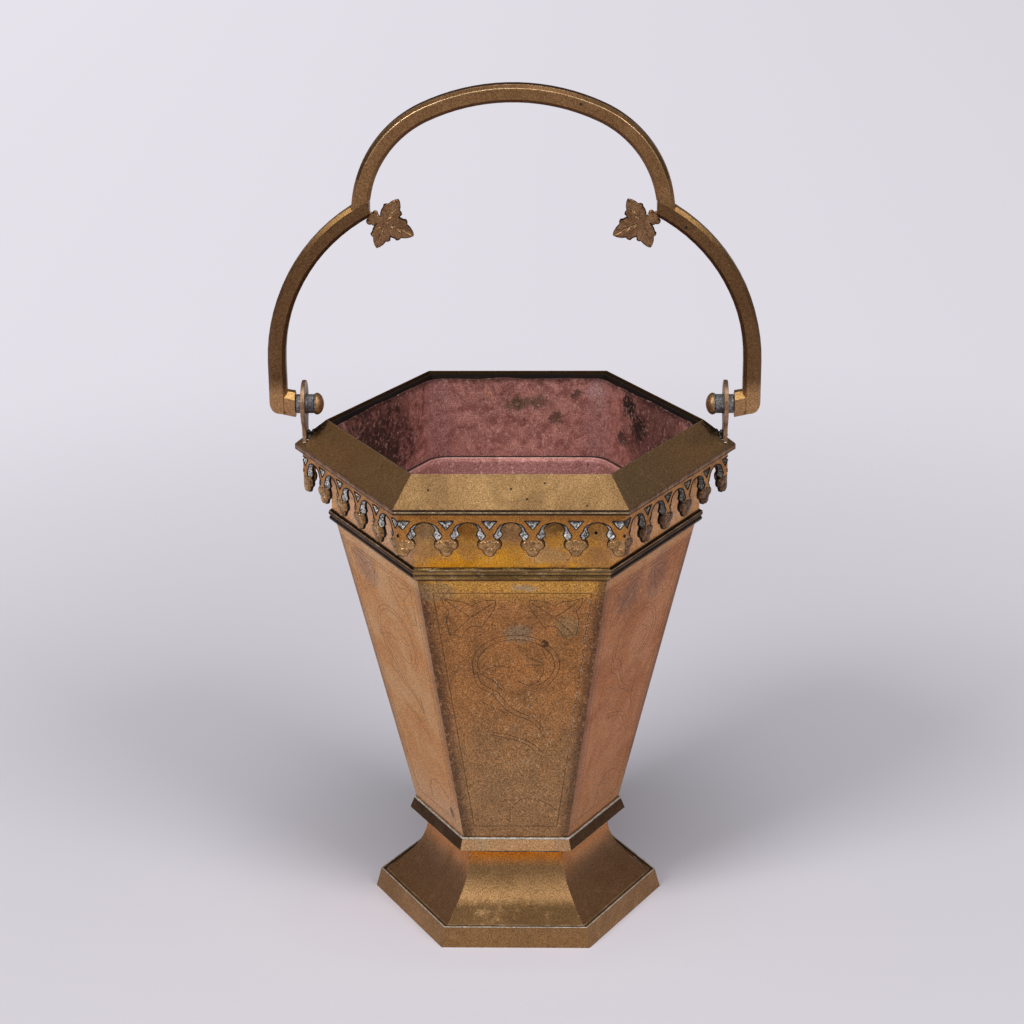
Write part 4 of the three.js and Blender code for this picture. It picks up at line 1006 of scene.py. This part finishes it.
def bentRing(out, height, radius, ragged=0.0, dent=0.0):
    reach = (out - radius) / flatPerCorner

    def onBend(toCorner, turn):
        return Vector((reach * math.cos(toCorner) + radius * math.cos(turn),
                       reach * math.sin(toCorner) + radius * math.sin(turn), height))

    places = []
    for corner in range(len(sideNames)):
        toCorner = corner * sideTurn
        places += [onBend(toCorner, toCorner + (step / liner["cornerSteps"] - 0.5) * sideTurn)
                   for step in range(liner["cornerSteps"] + 1)]
        start, end = places[-1], onBend(toCorner + sideTurn, toCorner + sideTurn / 2)
        places += [start.lerp(end, step / liner["flatSteps"]) for step in range(1, liner["flatSteps"])]
    for place in places:
        flat = Vector((place.x, place.y, 0)).normalized()
        place.z -= ragged * (0.5 + 0.5 * noise.noise(place / liner["raggedSize"] + Vector((3, 7, 0))))
        place -= flat * dent * (0.6 + noise.noise(place / liner["dentSize"]))
    return [place * mm for place in places]


def addLiner():
    top, neck, ledge, nose, noseRound, floor, floorFlat, sheet, ragged, dent = (liner[key] for key in (
        "top", "neck", "ledge", "nose", "noseRound", "floor", "floorFlat", "sheet", "ragged", "dent"))
    inner, outer = liner["cornerRadius"], liner["cornerRadius"] + sheet
    under, noseOut = ledge - noseRound, nose + noseRound
    rings = [bentRing(neck + sheet, ledge - sheet, outer), bentRing(neck + sheet, top, outer, ragged),
             bentRing(neck, top, inner, ragged)]
    rows = round((top - ledge) / liner["rowStep"])
    for row in range(1, rows + 1):
        share = row / rows
        rings.append(bentRing(neck, top + (ledge - top) * share, inner, ragged * (1 - share) ** 2,
                              dent * min(1, 3 * share) * (row < rows)))
    rings.append(bentRing((neck + noseOut) / 2, ledge, inner))
    for step in range(liner["noseSteps"] + 1):
        turn = step / liner["noseSteps"] * math.pi / 2
        rings.append(bentRing(noseOut - noseRound * math.sin(turn), under + noseRound * math.cos(turn), inner))
    rows = round((under - floor) / (2 * liner["rowStep"]))
    for row in range(1, rows + 1):
        share = row / rows
        rings.append(bentRing(nose + (floorFlat - nose) * share, under + (floor - under) * share, inner, 0,
                              dent * (row < rows)))
    rings += [bentRing(floorFlat + sheet, floor, outer), bentRing(nose + sheet, under, outer),
              bentRing(noseOut, ledge - sheet, outer)]
    bm = facesFrom([place for ring in rings for place in ring], ringFaces(len(rings), len(rings[0]), True))
    addSolid("liner_wall_sheet", bm, [linerFinish], ["liner_wall"], smoothUpTo=50)
    for name, (flat, height, radius, material) in linerLines.items():
        stroke = [place / mm for place in bentRing(flat, height, inner)]
        addLines(name, strokeMesh([stroke], True), "liner_copper", material, radius, 1.1, 0.3, 0.7)
    print("liner made")


# Cresting: castings with dark outlines and openings of painted shade, silvered hollows partly a painted
# reflection, and domed pendants
crest = {
    "pendants": 6, "pitch": 18.4, "endShift": 0.99, "hollowBase": 8.2, "face": 83.49, "foot": 203.3,
    "lobes": [(-2.7, 5.6), (2.7, 5.6), (0, 2.6), (0, 6.2)], "lobeRadius": 2.0, "domeHeight": 0.3,
    "lobeVary": 0.12, "outline": 0.26,
}


# The cast faces: 0 the front, 1 the pendants, 2 the carved hollows, 3 the openings, whose edge faces get
# painted shade
def sortCrestFaces(bm, turn, level):
    bmesh.ops.bisect_plane(bm, geom=bm.verts[:] + bm.edges[:] + bm.faces[:], plane_co=(0, 0, level),
                           plane_no=(0, 0, 1))
    for face in bm.faces:
        normal = turn @ face.normal
        if abs(normal.y) < 0.1:
            face.material_index = 3
        elif face.calc_center_median().z < level:
            face.material_index = 1
        elif -0.97 < normal.y < -0.1:
            face.material_index = 2


def addCresting():
    outlines, lobes = [], {side: [] for side in sideNames}
    for index, side in enumerate(sideNames):
        node, turn = f"cresting_{side}", sideTransform(-index)
        bm = nodeCopy(node, turn)
        sortCrestFaces(bm, turn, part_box(node)[0].z + crest["hollowBase"] * mm)
        for edge in bm.edges:
            if sorted(face.material_index for face in edge.link_faces) in ([0, 2], [2, 3], [1, 3]):
                outlines.append([vertex.co / mm for vertex in edge.verts])
        addSolid(node + "_cast", bm, [
            crestFinish, onSide(pendantFinishes, side), onSide(hollowFinishes, side), sootAndShadeFinish,
        ], [node], smoothUpTo=20)
        for number in range(crest["pendants"]):
            step = number - (crest["pendants"] - 1) / 2
            x = step * crest["pitch"] * (crest["endShift"] if number in (0, crest["pendants"] - 1) else 1)
            for offX, offZ in crest["lobes"]:
                if abs(x + offX) + crest["lobeRadius"] < crest["face"] * halfPerFlat:
                    place = Vector((x + offX, -crest["face"], crest["foot"] + offZ))
                    lobes[side].append(turn.inverted() @ place)
    strokes = strokeMesh(outlines)
    joined = bmesh.new()
    joined.from_mesh(strokes)
    bmesh.ops.remove_doubles(joined, verts=joined.verts, dist=2 * mergeGap)
    joined.to_mesh(strokes)
    joined.free()
    # Near-black outlines along the castings' edges: painted shade
    addLines("cresting_outlines", strokes, "cresting_bronze", sootAndShadeFinish, crest["outline"], 0.8, 0.1, 0.6, 5)
    for index, side in enumerate(sideNames):
        addDots(f"cresting_lobes_{side}", lobes[side], "cresting_bronze", onSide(pendantFinishes, side),
                crest["lobeRadius"], (1, crest["domeHeight"], 1), crest["lobeVary"], index,
                (0, 0, index * sideTurn))
    print("cresting made")


# Engraving on the panels: a border, two ivy leaves and a vine scroll, fainter on the sides
panel = {"footFlat": 41.57, "footHeight": 47.6, "slope": 0.2109}
engraving = {
    "inset": 5.8, "top": 181.4, "bottom": 54.5, "doubleLine": 1.6, "leafPlace": (18.3, 167.5),
    "scroll": (1.2, 144), "scrollReach": (19.3, 15.6), "scrollGap": 2.3,
    "radius": 0.15, "faintRadius": 0.1, "sunk": 0.03, "seed": 4,
    "dashFrom": 88, "dashTo": 179, "dashStep": 1.7, "dashLength": 0.9, "dashShare": 0.8, "dashRadius": 0.16,
    "marks": 130, "marksHeight": (58, 140, 95),  # from, to and where most are
    "markReach": 0.62, "markLength": 2.6, "markRadius": 0.17,
}
# The leaf's outline and ribs from its centre, and the loose tendrils of the scroll
leafOutline = [
    [(-4.6, -3.6), (-8.2, 2), (-10.4, 6), (-11.1, 9.9)],
    [(-11.1, 9.9), (-7.5, 10.2), (-3.6, 9.2), (-0.2, 7.3)],
    [(-0.2, 7.3), (3.4, 9.4), (7.6, 10), (12.4, 11.5)],
    [(12.4, 11.5), (11.4, 7.4), (9.5, 4.3), (10.6, 0.6), (10.4, -2.5), (9.3, -7.7)],
    [(9.3, -7.7), (6.6, -7.6), (4.3, -9.3), (2.4, -5.6), (-0.6, -3.2), (-4.6, -3.6)],
]
leafRibs = [[(0.4, 1.6), (6, 6), (11, 10.6)], [(0, 1.4), (-5, 5), (-10, 9)], [(0.4, 1), (4, -3), (8, -7)]]
tendrils = [
    [(-18, 142), (-15.8, 132.6), (-9.6, 128.3), (-2.7, 119), (8, 113.1), (14, 104)],
    [(-16, 140), (-13.8, 133.6), (-7.6, 129.6), (-0.8, 120.8), (8.6, 115), (13, 110)],
    [(-12.1, 141.2), (-6.7, 143.3), (-1.5, 142.3)],
    [(-14.8, 139.1), (-9.5, 135.9), (-5.2, 130.5)],
    [(5.6, 143.9), (13.6, 144.2), (7.4, 147.6)],
    [(2, 135.3), (6, 133.2), (10, 134.3), (13, 139), (13.4, 143)],
    [(-14.2, 124), (-8, 120.4), (-2.7, 117.5)],
    [(11.7, 117.5), (11.6, 108.8)],
    [(-10, 107.6), (-2.8, 106), (7.1, 102.1), (13, 96)],
    [(-9, 105.6), (-2.8, 104.2), (6, 100.4), (11, 95)],
    [(-2.4, 67.2), (-2.5, 56.8)],
    [(-1.5, 64.9), (2, 69.4), (7.7, 70.6), (14, 68), (18.7, 63.8)],
]


def panelFlat(height):
    return panel["footFlat"] + (height - panel["footHeight"]) * panel["slope"]


def onPanel(x, height, index=0, lift=0.0):
    return sideTransform(index) @ Vector((x, -(panelFlat(height) + lift), height))


# Half the width inside the border
def borderHalf(height):
    return panelFlat(height) * halfPerFlat - engraving["inset"]


def borderStrokes():
    top, bottom = engraving["top"], engraving["bottom"]
    wide, narrow = borderHalf(top), borderHalf(bottom)
    corners = [(-wide, top), (wide, top), (narrow, bottom), (-narrow, bottom)]
    return [[start, end] for start, end in zip(corners, corners[1:] + corners[:1])]


def leafStrokes(mirror):
    x, height = engraving["leafPlace"]
    strokes = [through(arc, 4) for arc in leafOutline + leafRibs]
    return [[(mirror * (x + offX), height + offZ) for offX, offZ in stroke] for stroke in strokes]


def scrollStrokes():
    x, height = engraving["scroll"]
    strokes = []
    for shrink in (0, engraving["scrollGap"]):
        reachX, reachZ = (reach - shrink for reach in engraving["scrollReach"])
        turns = [math.radians(200 - 6 * i) for i in range(44)]
        strokes.append([(x + reachX * math.cos(turn), height + reachZ * math.sin(turn)) for turn in turns])
    return strokes + [through(tendril) for tendril in tendrils]


def addEngraving():
    faint, clear = [], []
    for index in range(len(sideNames)):
        flatStrokes = borderStrokes() + leafStrokes(1) + leafStrokes(-1)
        if index:
            upper = engraving["top"] - engraving["doubleLine"]
            flatStrokes.append([(-borderHalf(upper), upper), (borderHalf(upper), upper)])
        flatStrokes += scrollStrokes()
        held = faint if index else clear
        for stroke in flatStrokes:
            held.append([onPanel(x, height, index, -engraving["sunk"]) for x, height in stroke])
    addLines("engraving_front", strokeMesh(clear), "body_brass", engravedFinish, engraving["radius"])
    addLines("engraving_sides", strokeMesh(faint), "body_brass", faintFinish, engraving["faintRadius"], 1.4)
    chance = random.Random(engraving["seed"])
    dashes = []
    height = engraving["dashFrom"]
    while height < engraving["dashTo"]:
        if chance.random() < engraving["dashShare"]:
            reach = borderHalf(height) + chance.uniform(-0.15, 0.15)
            end = height + engraving["dashLength"] * chance.uniform(0.5, 1.3)
            dashes.append([onPanel(reach, height), onPanel(reach + 0.1, end)])
        height += engraving["dashStep"]
    marks = []
    for number in range(engraving["marks"]):
        height = chance.triangular(*engraving["marksHeight"])
        x = chance.triangular(-1, 1, 0.25) * engraving["markReach"] * panelFlat(height) * halfPerFlat
        lean = chance.uniform(-0.9, 0.9)
        rise = chance.uniform(0.3, 1) * engraving["markLength"]
        bend = chance.uniform(-0.3, 0.3)
        marks.append([onPanel(x, height), onPanel(x + lean * rise / 2 + bend, height + rise / 2),
                      onPanel(x + lean * rise, height + rise)])
    addLines("wear_marks", strokeMesh(marks), "body_brass", wearFinish, engraving["markRadius"], 0.5, 0.6, 1.4)
    addLines("border_scratches", strokeMesh(dashes), "body_brass", solderAndGleamFinish, engraving["dashRadius"], 0.5)
    print("engraving made")


# Soft solder and a dark joint along the seams, painted shade in the moulding's grooves and joints, and painted
# highlights on the beads, the rim's lip and the foot's arrises: a ring's flat distance and height, slot,
# material, radius, then step, wander, swell and sides of the bead. Two aren't rings, so their strokes come from
# looseStrokes.
seamLines = {
    "collar_solder": ((42.25, 47.7), "foot_brass", solderAndGleamFinish, 0.5, 0.7, 0.25, 0.8, 8),
    "moulding_groove": ((73.45, 191.2), "moulding_brass", sootAndShadeFinish, 0.2, 1.2, 0.05, 0.4),
    "moulding_foot": ((71.5, 187.9), "moulding_brass", sootAndShadeFinish, 0.2, 1.2, 0.05, 0.4),
    "moulding_top": ((73, 194.35), "moulding_brass", sootAndShadeFinish, 0.16, 1.2, 0.05, 0.4),
    "moulding_glint": ((73.95, 193.5), "moulding_brass", highlightFinish, 0.26, 1.2, 0.05, 0.4),
    "rim_lip_glint": ((86.25, 224.7), "moulding_brass", wornEdgeAndGlintFinish, 0.28, 1.2, 0.05, 0.4),
    "gore_arrises": (None, "foot_brass", highlightFinish, 0.26, 1.0, 0.1, 1.0),
    "plinth_gleam": ((56.85, 9.4), "foot_brass", solderAndGleamFinish, 0.24, 0.9, 0.1, 1.6),
    "gore_foot": ((54.85, 9.3), "foot_brass", highlightFinish, 0.22, 1.0, 0.1, 1.2),
    "plinth_joint": ((55.7, 8.8), "foot_brass", engravedFinish, 0.3, 1.2, 0.1, 0.5),
    "neck_solder": (None, "foot_brass", pinBandFinish, 0.42, 0.8, 0.3, 1.0),
}
plinthTop = 8.8
rimSlope = math.atan2(11.8, 13.16)
neckDrops = [(-20, -37.3, 38.9), (-6, -37.3, 38.5), (8, -37.3, 38.7), (20, -37.3, 38.4)]
earDrops = [(94.8, -5.5, 228.4), (93.6, -4.6, 229.4), (93.6, 4.4, 229.4), (96, 4.8, 228.6)]
earFillets = [(92.9, -2.6, 230), (93, 2.4, 230), (92.4, 0, 230.6), (93.2, -0.6, 232), (91, 0.4, 231.4)]
rimPits = [
    (-35.1, -79.3, 232.45), (0, -78.9, 232.8), (14.4, -76.8, 234.7), (6.9, -82.5, 229.6), (32.2, -84.9, 227.5),
]


def bothEars(places):
    return [(side * x, y, z) for side in (-1, 1) for x, y, z in places]


# Solder drops and pits: places, slot, material, radius, squash, then how much they vary, seed, turn and body
seamDots = {
    "ear_solder": (bothEars(earDrops), "ear_bronze", solderAndGleamFinish, 0.6, (1.3, 0.8, 0.5), 0.5, 3),
    "ear_fillets": (bothEars(earFillets), "ear_bronze", oldSolderFinish, 1.5, (0.75, 1.5, 1), 0.4, 7),
    "rim_pits": (rimPits, "rim_brass", sootAndShadeFinish, 0.55, (1, 1, 0.2), 0.4, 5, (rimSlope, 0, 0)),
    "frieze_pit": ([(36.15, -72.75, 210.5)], "frieze_brass", sootAndShadeFinish, 0.75, (1, 0.2, 1)),
    "bail_marks": ([(29.6, -4, 381.7), (75.6, -4, 327.2)], "bail_bronze", sootAndShadeFinish, 0.85, (1, 0.15, 1),
                   0.3, 2, (0, 0, 0), "bail"),
}


def hexagonStroke(flat, height, steps=40):
    corners = [Vector((math.cos(i * sideTurn), math.sin(i * sideTurn), 0)) * flat / flatPerCorner
               for i in range(len(sideNames))]
    return [start.lerp(end, step / steps) + Vector((0, 0, height))
            for start, end in zip(corners, corners[1:] + corners[:1]) for step in range(steps)]


# The outermost corner points of a gore at each height, from the plinth up
def goreArris(index, side):
    turn = sideTransform(-index)
    outer = {}
    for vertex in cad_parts[f"foot_gore_{side}"].data.vertices:
        place = turn @ vertex.co / mm
        key = round(place.z, 1)
        if place.x > 0 and (key not in outer or place.y < outer[key].y):
            outer[key] = place
    return [turn.inverted() @ place for key, place in sorted(outer.items()) if key > plinthTop]


def addSeamsAndMarks():
    arrises = [goreArris(index, side) for index, side in enumerate(sideNames)]
    looseStrokes = {"gore_arrises": arrises, "neck_solder": [neckDrops]}
    for name, (ring, slot, material, radius, *bead) in seamLines.items():
        strokes = [hexagonStroke(*ring)] if ring else looseStrokes[name]
        addLines(name, strokeMesh(strokes, bool(ring)), slot, material, radius, *bead)
    for name, dots in seamDots.items():
        addDots(name, *dots)
    print("seams and marks made")


addMitredSheet()
addSimpleCopies()
addTurnedPieces()
addCrown()
addLeaves()
addLiner()
addCresting()
addEngraving()
addSeamsAndMarks()
